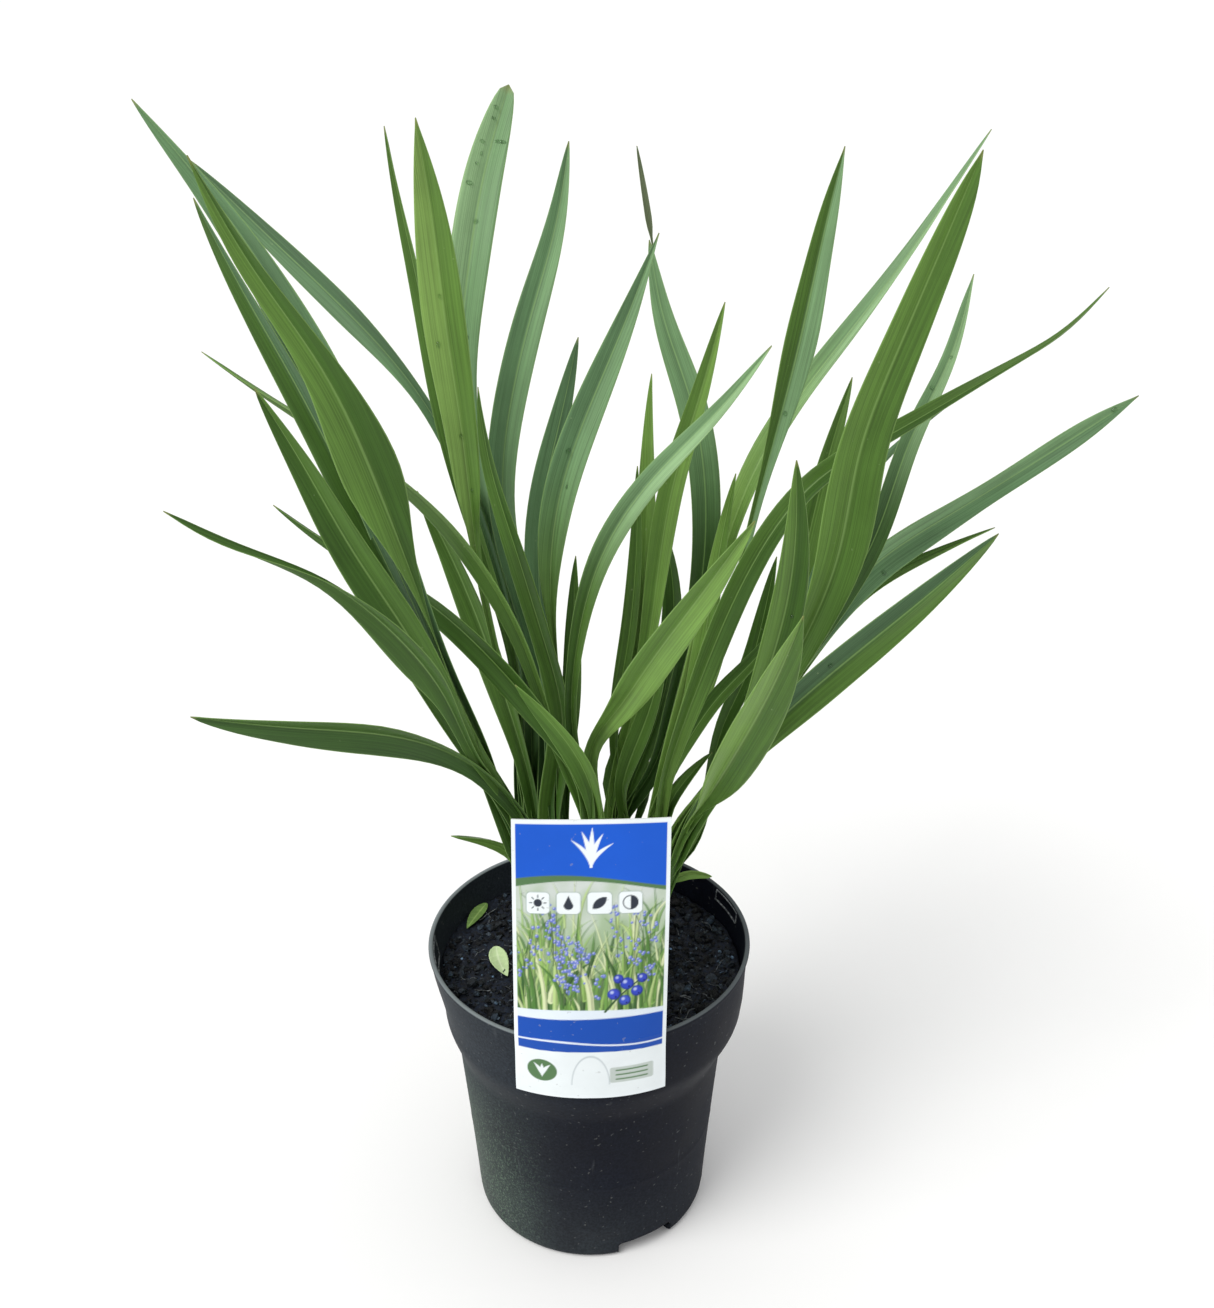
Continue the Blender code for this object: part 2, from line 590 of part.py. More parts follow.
def smooth_path(points, at):
    """A natural cubic through the points, sampled at shares of its length."""
    knots = np.asarray(points, float)
    reach = np.concatenate([[0.0], np.cumsum(np.linalg.norm(np.diff(knots, axis=0), axis=1))])
    count = len(knots)
    gaps = np.diff(reach)
    left = np.eye(count)
    right = np.zeros((count, 3))
    for i in range(1, count - 1):
        left[i, i - 1:i + 2] = gaps[i - 1], 2.0 * (gaps[i - 1] + gaps[i]), gaps[i]
        right[i] = 3.0 * ((knots[i + 1] - knots[i]) / gaps[i] - (knots[i] - knots[i - 1]) / gaps[i - 1])
    bend = np.linalg.solve(left, right)
    fine = np.linspace(0.0, reach[-1], 200)
    span = np.clip(np.searchsorted(reach, fine, side="right") - 1, 0, count - 2)
    past = (fine - reach[span])[:, None]
    gap = gaps[span][:, None]
    slope = (knots[span + 1] - knots[span]) / gap - gap * (2.0 * bend[span] + bend[span + 1]) / 3.0
    curve = knots[span] + slope * past + bend[span] * past ** 2
    curve = curve + (bend[span + 1] - bend[span]) / (3.0 * gap) * past ** 3
    run = np.concatenate([[0.0], np.cumsum(np.linalg.norm(np.diff(curve, axis=0), axis=1))])
    return np.stack([np.interp(np.asarray(at) * run[-1], run, curve[:, k]) for k in range(3)], -1)


def usual_width(share, leaf):
    """Width along a blade: narrow where it is folded, then wide, then a point."""
    neck_share = leaf.widest * leaf.neck_at
    low = leaf.foot + (leaf.neck - leaf.foot) * smoothstep(share / neck_share)
    high = leaf.neck + (1.0 - leaf.neck) * smoothstep((share - neck_share) / (leaf.widest - neck_share))
    rise = np.where(share < neck_share, low, high)
    taper = np.sin(math.pi / 2.0 * np.clip((1.0 - share) / (1.0 - leaf.widest), 0.0, 1.0)) ** leaf.tip
    return leaf.width * math.cos(math.radians(WIDE_FOLD)) * rise * taper


def shaped_width(share, leaf):
    """Width along a blade that has a shape of its own."""
    knots = [(place * SHAPE_STRETCH, width, 0.0) for place, width in leaf.shape]
    curve = smooth_path(knots, np.linspace(0.0, 1.0, SHAPE_STEPS))
    return np.interp(share * SHAPE_STRETCH, curve[:, 0], curve[:, 1])


def half_width(share, leaf):
    """Half the width of the leaf's skin across its folded blade."""
    seen = shaped_width(share, leaf) if leaf.shape else usual_width(share, leaf)
    return np.maximum(seen / 2.0 / np.cos(fold(share, leaf)), TIP_HALF)


def fold(share, leaf):
    """How far each half of the blade is folded up, in radians."""
    places = [0.0, leaf.widest * NECK_FOLD_AT, leaf.widest, TIP_FOLD_FROM, 1.0]
    return np.radians(np.interp(share, places, [FOOT_FOLD, NECK_FOLD, WIDE_FOLD, WIDE_FOLD, TIP_FOLD]))


def blade_frame(path, share, turn):
    """Across and facing directions at each point of a midrib."""
    along = np.gradient(path, axis=0)
    along /= np.linalg.norm(along, axis=1)[:, None]
    front = np.array([0.0, -1.0, 0.0])
    facing = front - (along @ front)[:, None] * along
    facing /= np.linalg.norm(facing, axis=1)[:, None]
    across = np.cross(along, facing)
    to_middle = smoothstep((share - TURN_FROM) / (TURN_MIDDLE - TURN_FROM))
    to_tip = smoothstep((share - TURN_MIDDLE) / (1.0 - TURN_MIDDLE))
    turned = turn[0] + (turn[1] - turn[0]) * to_middle + (turn[2] - turn[1]) * to_tip
    angle = np.radians(turned)[:, None]
    return across * np.cos(angle) + facing * np.sin(angle), facing * np.cos(angle) - across * np.sin(angle)


def blade(name, leaf, start, look):
    """One folded strap leaf as a closed solid."""
    knots = np.array([*start, *leaf.route], float)
    length = np.linalg.norm(np.diff(knots, axis=0), axis=1).sum()
    sections = LEAST_SECTIONS + int(length / LENGTH_PER_SECTION)
    share = 1.0 - (1.0 - np.linspace(0.0, 1.0, sections)) ** TIP_CROWDING
    path = smooth_path(knots, share)
    across, facing = blade_frame(path, share, leaf.turn)
    half = half_width(share, leaf)[:, None]
    bent = fold(share, leaf)[:, None]
    out, up = half * np.cos(bent), half * np.sin(bent)
    left = path - across * out + facing * up
    right = path + across * out + facing * up
    left_under = left - BLADE * (across * np.sin(bent) + facing * np.cos(bent))
    right_under = right - BLADE * (facing * np.cos(bent) - across * np.sin(bent))
    keel = path - facing * BLADE / np.cos(bent)
    rows = np.stack([left, path, right, right_under, keel, left_under], axis=1)
    points = rows.reshape(-1, 3)
    faces = []
    count = BLADE_SIDES
    for row in range(sections - 1):
        for side in range(count):
            a, b = count * row + side, count * row + (side + 1) % count
            if side in RISING_SIDES:
                faces.extend(((a, b, b + count), (a, b + count, a + count)))
            else:
                faces.extend(((a, b, a + count), (b, b + count, a + count)))
    last = count * (sections - 1)
    for first, flip in ((0, False), (last, True)):
        for cap in END_CAP:
            corners = [first + corner for corner in cap]
            faces.append(tuple(corners if flip else corners[::-1]))
    return add_mesh(name, points, faces, look)


def shoot_core(name, shoot, look):
    """The stout base that stands in the soil and that the leaves wrap."""
    foot = np.array([*shoot.foot, SPRING_Z])
    throat = np.array(shoot.throat, float)
    levels = [(np.array([*shoot.foot, FOOT_Z]), 1.0)]
    for step in np.linspace(0.0, 1.0, CORE_LEVELS):
        levels.append((foot + (throat - foot) * step, 1.0 - (1.0 - THROAT_SIZE) * step))
    points = []
    for centre, size in levels:
        for side in range(FOOT_SIDES):
            turn = 2.0 * math.pi * side / FOOT_SIDES
            points.append(centre + np.array([FOOT_A * math.cos(turn), FOOT_B * math.sin(turn), 0.0]) * size)
    rings = len(levels)
    points.append(levels[0][0])
    points.append(levels[-1][0])
    return add_mesh(name, points, lathe_faces(rings, FOOT_SIDES), look)


def build_shoot(name, shoot, look):
    """A fan of leaves fused with its base."""
    core = shoot_core(name, shoot, look)
    blades = []
    middle = (len(shoot.leaves) - 1) / 2.0
    for place, leaf in enumerate(shoot.leaves):
        aside = np.array([(place - middle) * FAN_STEP, (place % 2 - 0.5) * FAN_STAGGER, 0.0])
        foot = np.array([*shoot.foot, SPRING_Z])
        throat = np.array(shoot.throat, float)
        if leaf.route[0][2] < throat[2] + LOW_LEAF:
            start = [foot + (throat - foot) * LOW_START + aside * START_SPREAD]
        else:
            start = [foot + (throat - foot) * LEAF_START + aside * START_SPREAD, throat + aside]
        blades.append(blade("leaf_" + leaf.name, leaf, start, look))
    if name == WISP_SHOOT:
        blades.append(blade("leaf_wisp", WISP, [], look))
    return tidy(join(core, blades, "UNION"))


# Label

def card_line(share):
    """Middle of the card at one share of its height: how far out and how high."""
    bend_z = RIM_Z + BEND_ABOVE
    low_part = (bend_z - CARD_LOW_Z) / (CARD_TOP_Z - CARD_LOW_Z)
    if share <= low_part:
        z = CARD_LOW_Z + (bend_z - CARD_LOW_Z) * share / low_part
        slope = (RIM_R - COLLAR_FOOT_R) / (RIM_Z - COLLAR_FOOT_Z)
        return RIM_R + slope * (z - RIM_Z) + GAP, z
    up = (share - low_part) / (1.0 - low_part)
    return RIM_R + GAP - CARD_LEAN * up ** LEAN_BOW, bend_z + (CARD_TOP_Z - bend_z) * up


def card_point(aside, share, out):
    """A point on the card: its place across, up and through the thickness."""
    reach, z = card_line(share)
    above = max(0.0, (z - RIM_Z) / (CARD_TOP_Z - RIM_Z))
    sweep = aside / (RIM_R + GAP)
    curl = 1.0 - CURL_LOST * smoothstep(above / CURL_LOST_AT)
    x = (RIM_R + GAP) * math.sin(sweep) + CARD_SHIFT * above
    drop = (RIM_R + GAP) * (1.0 - math.cos(sweep)) * float(curl)
    side = push(z, math.atan2(-1.0, aside / RIM_R)) if z < RIM_Z else 0.0
    facing = np.array([math.sin(sweep) * float(curl), -math.cos(sweep * float(curl))])
    place = np.array([x, -(reach - drop)]) + facing * (out + abs(side))
    return (*place, z)


def build_label():
    """The card: its lower part follows the collar, its upper part leans back."""
    look = card()
    bend = (RIM_Z + BEND_ABOVE - CARD_LOW_Z) / (CARD_TOP_Z - CARD_LOW_Z)
    shares = [*np.linspace(0.0, bend, CARD_LOW_ROWS, endpoint=False), *np.linspace(bend, 1.0, CARD_HIGH_ROWS)]
    columns = CARD_COLUMNS + 1
    points = []
    for out in (0.0, CARD):
        for share in shares:
            for column in range(columns):
                aside = CARD_WIDTH * (column / CARD_COLUMNS - 0.5)
                points.append(card_point(aside, share, out))
    rows = len(shares)
    sheet = rows * columns
    faces = []
    for row in range(rows - 1):
        for column in range(CARD_COLUMNS):
            a = row * columns + column
            b, c, d = a + 1, a + columns + 1, a + columns
            faces.extend(((a, c, b), (a, d, c)))
            faces.extend(((sheet + a, sheet + b, sheet + c), (sheet + a, sheet + c, sheet + d)))
    border = list(range(columns))
    border += [row * columns + CARD_COLUMNS for row in range(1, rows)]
    border += [(rows - 1) * columns + column for column in range(CARD_COLUMNS - 1, -1, -1)]
    border += [row * columns for row in range(rows - 2, 0, -1)]
    for i, here in enumerate(border):
        there = border[(i + 1) % len(border)]
        faces.append((here, there, sheet + there, sheet + here))
    label = add_mesh("label", points, faces, look)
    return tidy(join(label, [build_tongue(look)], "UNION"))


def build_tongue(look):
    """The tongue that the card hooks over the rim and down the inside of the wall."""
    inner = RIM_R - WALL - GAP
    over = RIM_Z + GAP
    low = outer_radius(TONGUE_LOW_Z) - WALL - 2.0 * GAP
    line = [(RIM_R + GAP + CARD * 0.5, over), (inner, over), (low, TONGUE_LOW_Z)]
    back = [(RIM_R + GAP + CARD * 0.5, over + CARD), (inner - CARD, over + CARD),
            (low - CARD, TONGUE_LOW_Z)]
    loop = line + back[::-1]
    points = []
    for column in range(TONGUE_COLUMNS + 1):
        aside = TONGUE_WIDTH * (column / TONGUE_COLUMNS - 0.5)
        sweep = aside / RIM_R
        for radius, z in loop:
            points.append((radius * math.sin(sweep), -radius * math.cos(sweep), z))
    size = len(loop)
    faces = []
    for column in range(TONGUE_COLUMNS):
        for side in range(size):
            a, b = column * size + side, column * size + (side + 1) % size
            faces.append((a, b, b + size, a + size))
    last = TONGUE_COLUMNS * size
    for a in range(len(line) - 1):
        b = size - 1 - a
        faces.append((a, a + 1, b - 1, b))
        faces.append((last + a, last + b, last + b - 1, last + a + 1))
    return add_mesh("tongue", points, faces, look)


def build_fallen(name, route, width, look):
    """A leaf that lies on the soil and follows its top."""
    share = np.linspace(0.0, 1.0, FALLEN_SECTIONS)
    path = smooth_path([(x, y, 0.0) for x, y in route], share)
    along = np.gradient(path, axis=0)
    along /= np.linalg.norm(along, axis=1)[:, None]
    across = np.cross(along, [0.0, 0.0, 1.0])
    swell = np.sin(math.pi * share ** FALLEN_BOW) ** FALLEN_BOW
    half = np.maximum(width / 2.0 * swell, FALLEN_TIP_HALF)
    rows = []
    for i in range(FALLEN_SECTIONS):
        for side in (-1.0, 0.0, 1.0):
            x, y, _ = path[i] + across[i] * half[i] * side
            lift = FALLEN_LIFT + FALLEN_CUP * side * side * half[i] / (width / 2.0)
            rows.append((x, y, soil_height(x, y) + lift))
    points = []
    for thick in (0.0, FALLEN_THICK):
        points.extend((x, y, z + thick) for x, y, z in rows)
    layer = 3 * FALLEN_SECTIONS
    faces = []
    for i in range(FALLEN_SECTIONS - 1):
        for side in range(2):
            a = 3 * i + side
            b, c, d = a + 1, a + 4, a + 3
            faces.extend(((a, b, c), (a, c, d)))
            faces.extend(((layer + a, layer + c, layer + b), (layer + a, layer + d, layer + c)))
        for a in (3 * i, 3 * i + 2):
            faces.append((a, a + 3, layer + a + 3, layer + a))
    for a in (0, 1, layer - 3, layer - 2):
        faces.append((a, a + 1, layer + a + 1, layer + a))
    return add_mesh(name, points, faces, look)


def main():
    """Build every piece of the plant in its pot."""
    clear_scene()
    build_pot()
    build_soil()
    green = leaf_green()
    for name, shoot in SHOOTS.items():
        build_shoot(name, shoot, green)
    build_label()
    dry = fallen_green()
    for name, (route, width) in FALLEN.items():
        build_fallen(name, route, width, dry)


main()
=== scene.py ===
import math
from collections import namedtuple

import bmesh
import bpy
import numpy as np
from mathutils import Matrix, Vector


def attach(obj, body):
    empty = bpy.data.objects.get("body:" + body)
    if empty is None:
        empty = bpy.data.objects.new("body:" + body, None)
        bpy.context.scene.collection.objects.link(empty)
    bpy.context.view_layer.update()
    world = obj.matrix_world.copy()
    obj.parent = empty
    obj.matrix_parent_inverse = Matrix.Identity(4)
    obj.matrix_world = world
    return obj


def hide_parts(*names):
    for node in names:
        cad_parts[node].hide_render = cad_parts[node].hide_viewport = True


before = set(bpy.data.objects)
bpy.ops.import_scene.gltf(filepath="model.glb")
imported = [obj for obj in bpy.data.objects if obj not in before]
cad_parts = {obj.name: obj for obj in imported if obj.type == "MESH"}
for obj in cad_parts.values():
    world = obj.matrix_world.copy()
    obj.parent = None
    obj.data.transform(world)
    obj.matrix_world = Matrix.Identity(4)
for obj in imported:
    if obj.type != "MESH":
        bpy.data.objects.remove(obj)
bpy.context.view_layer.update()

MM = 0.001
BODY = "root"

# pot
RIM_Z = 140.0
RIM_R = 70.2
COLLAR_FOOT_Z = 109.0
COLLAR_FOOT_R = 66.3
SHOULDER_Z = 86.0
SHOULDER_R = 59.3
BASE_R = 53.0
BASE_FILLET = 3.2
WALL = 1.6
COLLAR_SKEW = 1.6           # the wall bulges this far to +X round SKEW_Z
SKEW_Z = 111.0
SKEW_SPREAD = 24.0
POT_SIDES = 168
POT_CREASE = 38.0           # degrees above which an edge is shown sharp
NOTCH_HEIGHT = 8.0          # drain notches in the foot of the wall
NOTCH_SPAN = 30.0           # degrees
NOTCH_DEPTH = 9.0
NOTCH_ANGLES = (-62.0, 58.0, 178.0)
GROOVE_ANGLES = (-138.0, -96.0)     # fine upright grooves above the foot
GROOVE_HALF = 0.9
GROOVE_DEPTH = 0.55
GROOVE_TOP = 14.0
CUT_PAST = 4.0              # the notch's block reaches this far past the wall
NOTCH_ROUND = 2.5           # rounding of a notch's top corners
NOTCH_COLUMNS = 17
FLAT_FROM, FLAT_TO = -96.0, -73.0   # degrees of the wall that are a little sunk between two grooves
FLAT_DEPTH = 0.3
RING_Z = 44.8               # faint raised ring round the body
RING_HEIGHT = 0.12
RING_HALF = 0.9
LIP_SWELL = 0.25            # the lip stands out this far past the collar
FOOT_ARC, LIP_ARC = 6, 8    # steps round the pot's foot and its lip
BODY_HEIGHTS = (5.0, 8.0, 11.0, 13.4, 14.2, 20.0, 30.0, 40.0, 43.6, 44.4, 45.2, 46.0, 50.0, 60.0,
                70.0, 80.0)
COLLAR_HEIGHTS = (114.0, 120.0, 126.0, 132.0, 136.0, 137.2)
INNER_COLLAR_HEIGHTS = (137.0, 132.0, 126.0, 120.0, 114.0)
INNER_FILLET = 2.0
INNER_BODY_HEIGHTS = (70.0, 50.0, 30.0, 14.0, WALL + INNER_FILLET)
GAP = 0.3                   # air between parts that fit into or over each other

# moulded rectangles inside the collar: first and last angle in degrees, lowest and highest edge
WALL_MARKS = {"wall_mark_left": (178.0, 195.0, 128.0, 138.6), "wall_mark_right": (13.0, 30.0, 133.5, 138.6)}
MARK_WIDTH = 0.7
MARK_BAR = ((0.05, -0.5), (-0.45, -0.3), (-0.45, 0.3), (0.05, 0.5))   # section: out of the wall, aside

# soil
SOIL_Z = 125.0
SOIL_SWELL = 0.6            # height of the broad waves of its top
SWELL_X = 13.0
SWELL_Y = 16.0
SWELL_SHIFT = 0.5
LEVEL_FROM_R = 52.0         # they fade out between these two radii
LEVEL_AT_R = 64.0
SOIL_FOOT_INSET = 2.5
SOIL_SIDES = 160
SOIL_RINGS = 46
SOIL_HEIGHTS = (20.0, 50.0, 70.0, SHOULDER_Z, 92.0, 98.0, 104.0, COLLAR_FOOT_Z, 117.0, 122.0)
LUMPS = ((0.55, (5.1, 6.3, 4.2, 7.7, 9.1), 5), (0.5, (2.6, 3.1, 3.7, 2.2), 8))   # height, sizes and seed
LUMPS_SINK = 0.4
# bark bits: roundness, how many, and their least and greatest size
BARK_KINDS = ((1, 3800, 0.4, 1.2), (2, 620, 1.1, 2.5), (2, 60, 2.4, 3.6))
# grey levels of the bark bits and how common each is; the coarse bits stay darker than the crumbs
BARK_SHADES = (9, 15, 26, 42, 62, 92)
BARK_SHARES = (0.28, 0.25, 0.20, 0.15, 0.09, 0.03)
BARK_LIGHTEST = {1: 92, 2: 42}
BARK_FROM_WALL = 1.6
BARK_FROM_LEAF = 4.5
FIBRES = 90
FIBRE_R = 60.0              # fibres begin within this radius
FIBRE_END_R = 62.0
FIBRE_STEPS = 8
FIBRE_SIDES = 5

# leaves
FOOT_Z = 112.0              # the shoots' bases go down to this height in the soil
FOOT_A = 5.2                # half the breadth and half the depth of a base at its foot
FOOT_B = 4.0
SPRING_Z = 128.0
THROAT_SIZE = 0.55          # size of a base at its throat against its foot
FAN_STEP = 1.6              # sideways step from one leaf of a fan to the next
FAN_STAGGER = 0.7           # every second leaf starts this much further back
LEAF_START = 0.70           # share of the way from foot to throat where the upper leaves part
LOW_START = 0.40            # the same place for the small low leaves
LOW_LEAF = 10.0             # a low leaf has its first point less than this above the throat
START_SPREAD = 0.5          # spacing of the leaves at their start against that at the throat
NECK = 0.52                 # usual width of a blade at its neck against its widest place
NECK_AT = 0.45              # usual place of the neck on the way to the widest place
FOOT_SHARE = 0.34           # usual width of a blade at its foot against its widest place
FOOT_FOLD = 58.0            # degrees that each half of a blade is folded up at its foot
NECK_FOLD = 46.0
WIDE_FOLD = 24.0
TIP_FOLD = 34.0
NECK_FOLD_AT = 0.35         # share of the way to the widest place that has the neck's fold
TIP_FOLD_FROM = 0.85        # share of the length above which the blade folds up again to its tip
TURN_FROM = 0.30            # share of the length where a face begins to turn
TURN_MIDDLE = 0.65          # share of the length that has the middle one of a leaf's three turns
SHAPE_STRETCH = 100.0       # length of a leaf against its width where its shape is smoothed
SHAPE_STEPS = 101
FINE_TIP_HALF = 0.12        # half the least width of a blade
SECTION_STEP = 5.5
START_SIZE = 0.25           # width of a blade's skin where it leaves the base, against its usual width there
START_RUN = 16.0            # length over which it reaches its usual width
HALF_COLUMNS = 6
COLUMN_CROWDING = 0.9       # below 1, columns lie further apart next to the midrib
TIP_CROWDING = 1.15         # above 1, cross-sections lie closer together towards the tip
LEAST_SECTIONS = 14
RIPPLES = ((21.0, 9.5), (23.0, 8.8))    # long and short waves of the left and the right edge
SHORT_RIPPLE = 0.6          # height of the short waves against the long ones
RIPPLE = 0.022              # height of the long waves against half the blade's width
LEAF_THICK = 0.5
KEEL = 0.35                 # how much thicker a blade is under its midrib
KEEL_HALF = 0.14            # share of half its width that the keel takes
UNDER_TINT = (1.04, 1.06, 1.16)
TONE_RUN = 0.32             # share of its length over which the foot's colour goes
TONE_GONE = 0.42            # usual share of its length where it has gone
MAP_STEP = 61.0             # steps between the grain maps of blades, of bases and of a blade's two faces
CORE_MAP_STEP = 17.0
UNDER_MAP_STEP = 37.0
CORE_SIDES = 20
CORE_LEVELS = 12
CORE_SIZE = 0.92            # size of the core against the base's at its foot, and at its throat
CORE_THROAT_SIZE = THROAT_SIZE * 0.9
SHEATH_TONES = ("mid fresh dark mid", "dark mid mid fresh", "mid mid dark fresh")
SHEATH_THICK = 0.45
SHEATH_TURN = 78.0          # a sheath faces this many degrees to one side
SHEATH_SEED = 400
WISP_THICK = 0.35
WISP_SEED = 900

# card
CARD = 0.6                  # thickness
CARD_WIDTH = 62.5
CARD_LOW_Z = 108.5
CARD_TOP_Z = 238.0
CARD_LEAN = 13.0            # its top stands this far inwards of the rim
CARD_SHIFT = 1.2            # and this far to the right
CARD_COLUMNS = 168          # squares of the print across and up the card
CARD_ROWS = 348
CARD_CREASE = 40.0
BACK_COLUMNS = 14
BACK_STEP = 12              # the back takes every so many of the front's rows
BACK_INSET = 0.02           # the back's sheet ends this far behind the print
TONGUE_WIDTH = 26.0
TONGUE_LOW_Z = 127.0
TONGUE_COLUMNS = 16

# print, with colours as they look on a screen
PRINT_MARGIN = 1.6
PRINT_GREEN = (88, 124, 82)
PRINT_WHITE = (238, 245, 247)
PICTURE_GREENS = ((220, 230, 182), (186, 212, 138), (150, 188, 102), (116, 160, 80), (84, 128, 62),
                  (62, 100, 52), (200, 216, 160))
PICTURE_LEVELS = ((1.3, (204, 212, 206)), (0.80, (170, 192, 158)), (0.50, (124, 156, 102)),
                  (0.24, (80, 118, 64)))
PICTURE_BLADES = 230
PICTURE_BACK_BLADES = 140
PICTURE_SPRAYS = 30
# the header's leaves: lean, height and thickness
HEADER_FAN = ((-7.5, 11.0, 0.85), (-3.6, 14.5, 1.0), (0.4, 16.0, 1.05), (4.4, 13.5, 0.95), (8.2, 9.5, 0.8))
# berries of the large sprig: place and radius
BERRIES = ((-3.6, -1.2, 2.3), (0.8, -4.4, 2.1), (1.6, 3.2, 2.5), (5.6, -0.6, 2.2), (7.8, 5.0, 1.9),
           (-1.8, 5.6, 1.8))

Leaf = namedtuple("Leaf", "name width widest tip turn route neck neck_at foot shape",
                  defaults=(NECK, NECK_AT, FOOT_SHARE, ()))
Shoot = namedtuple("Shoot", "foot throat leaves")

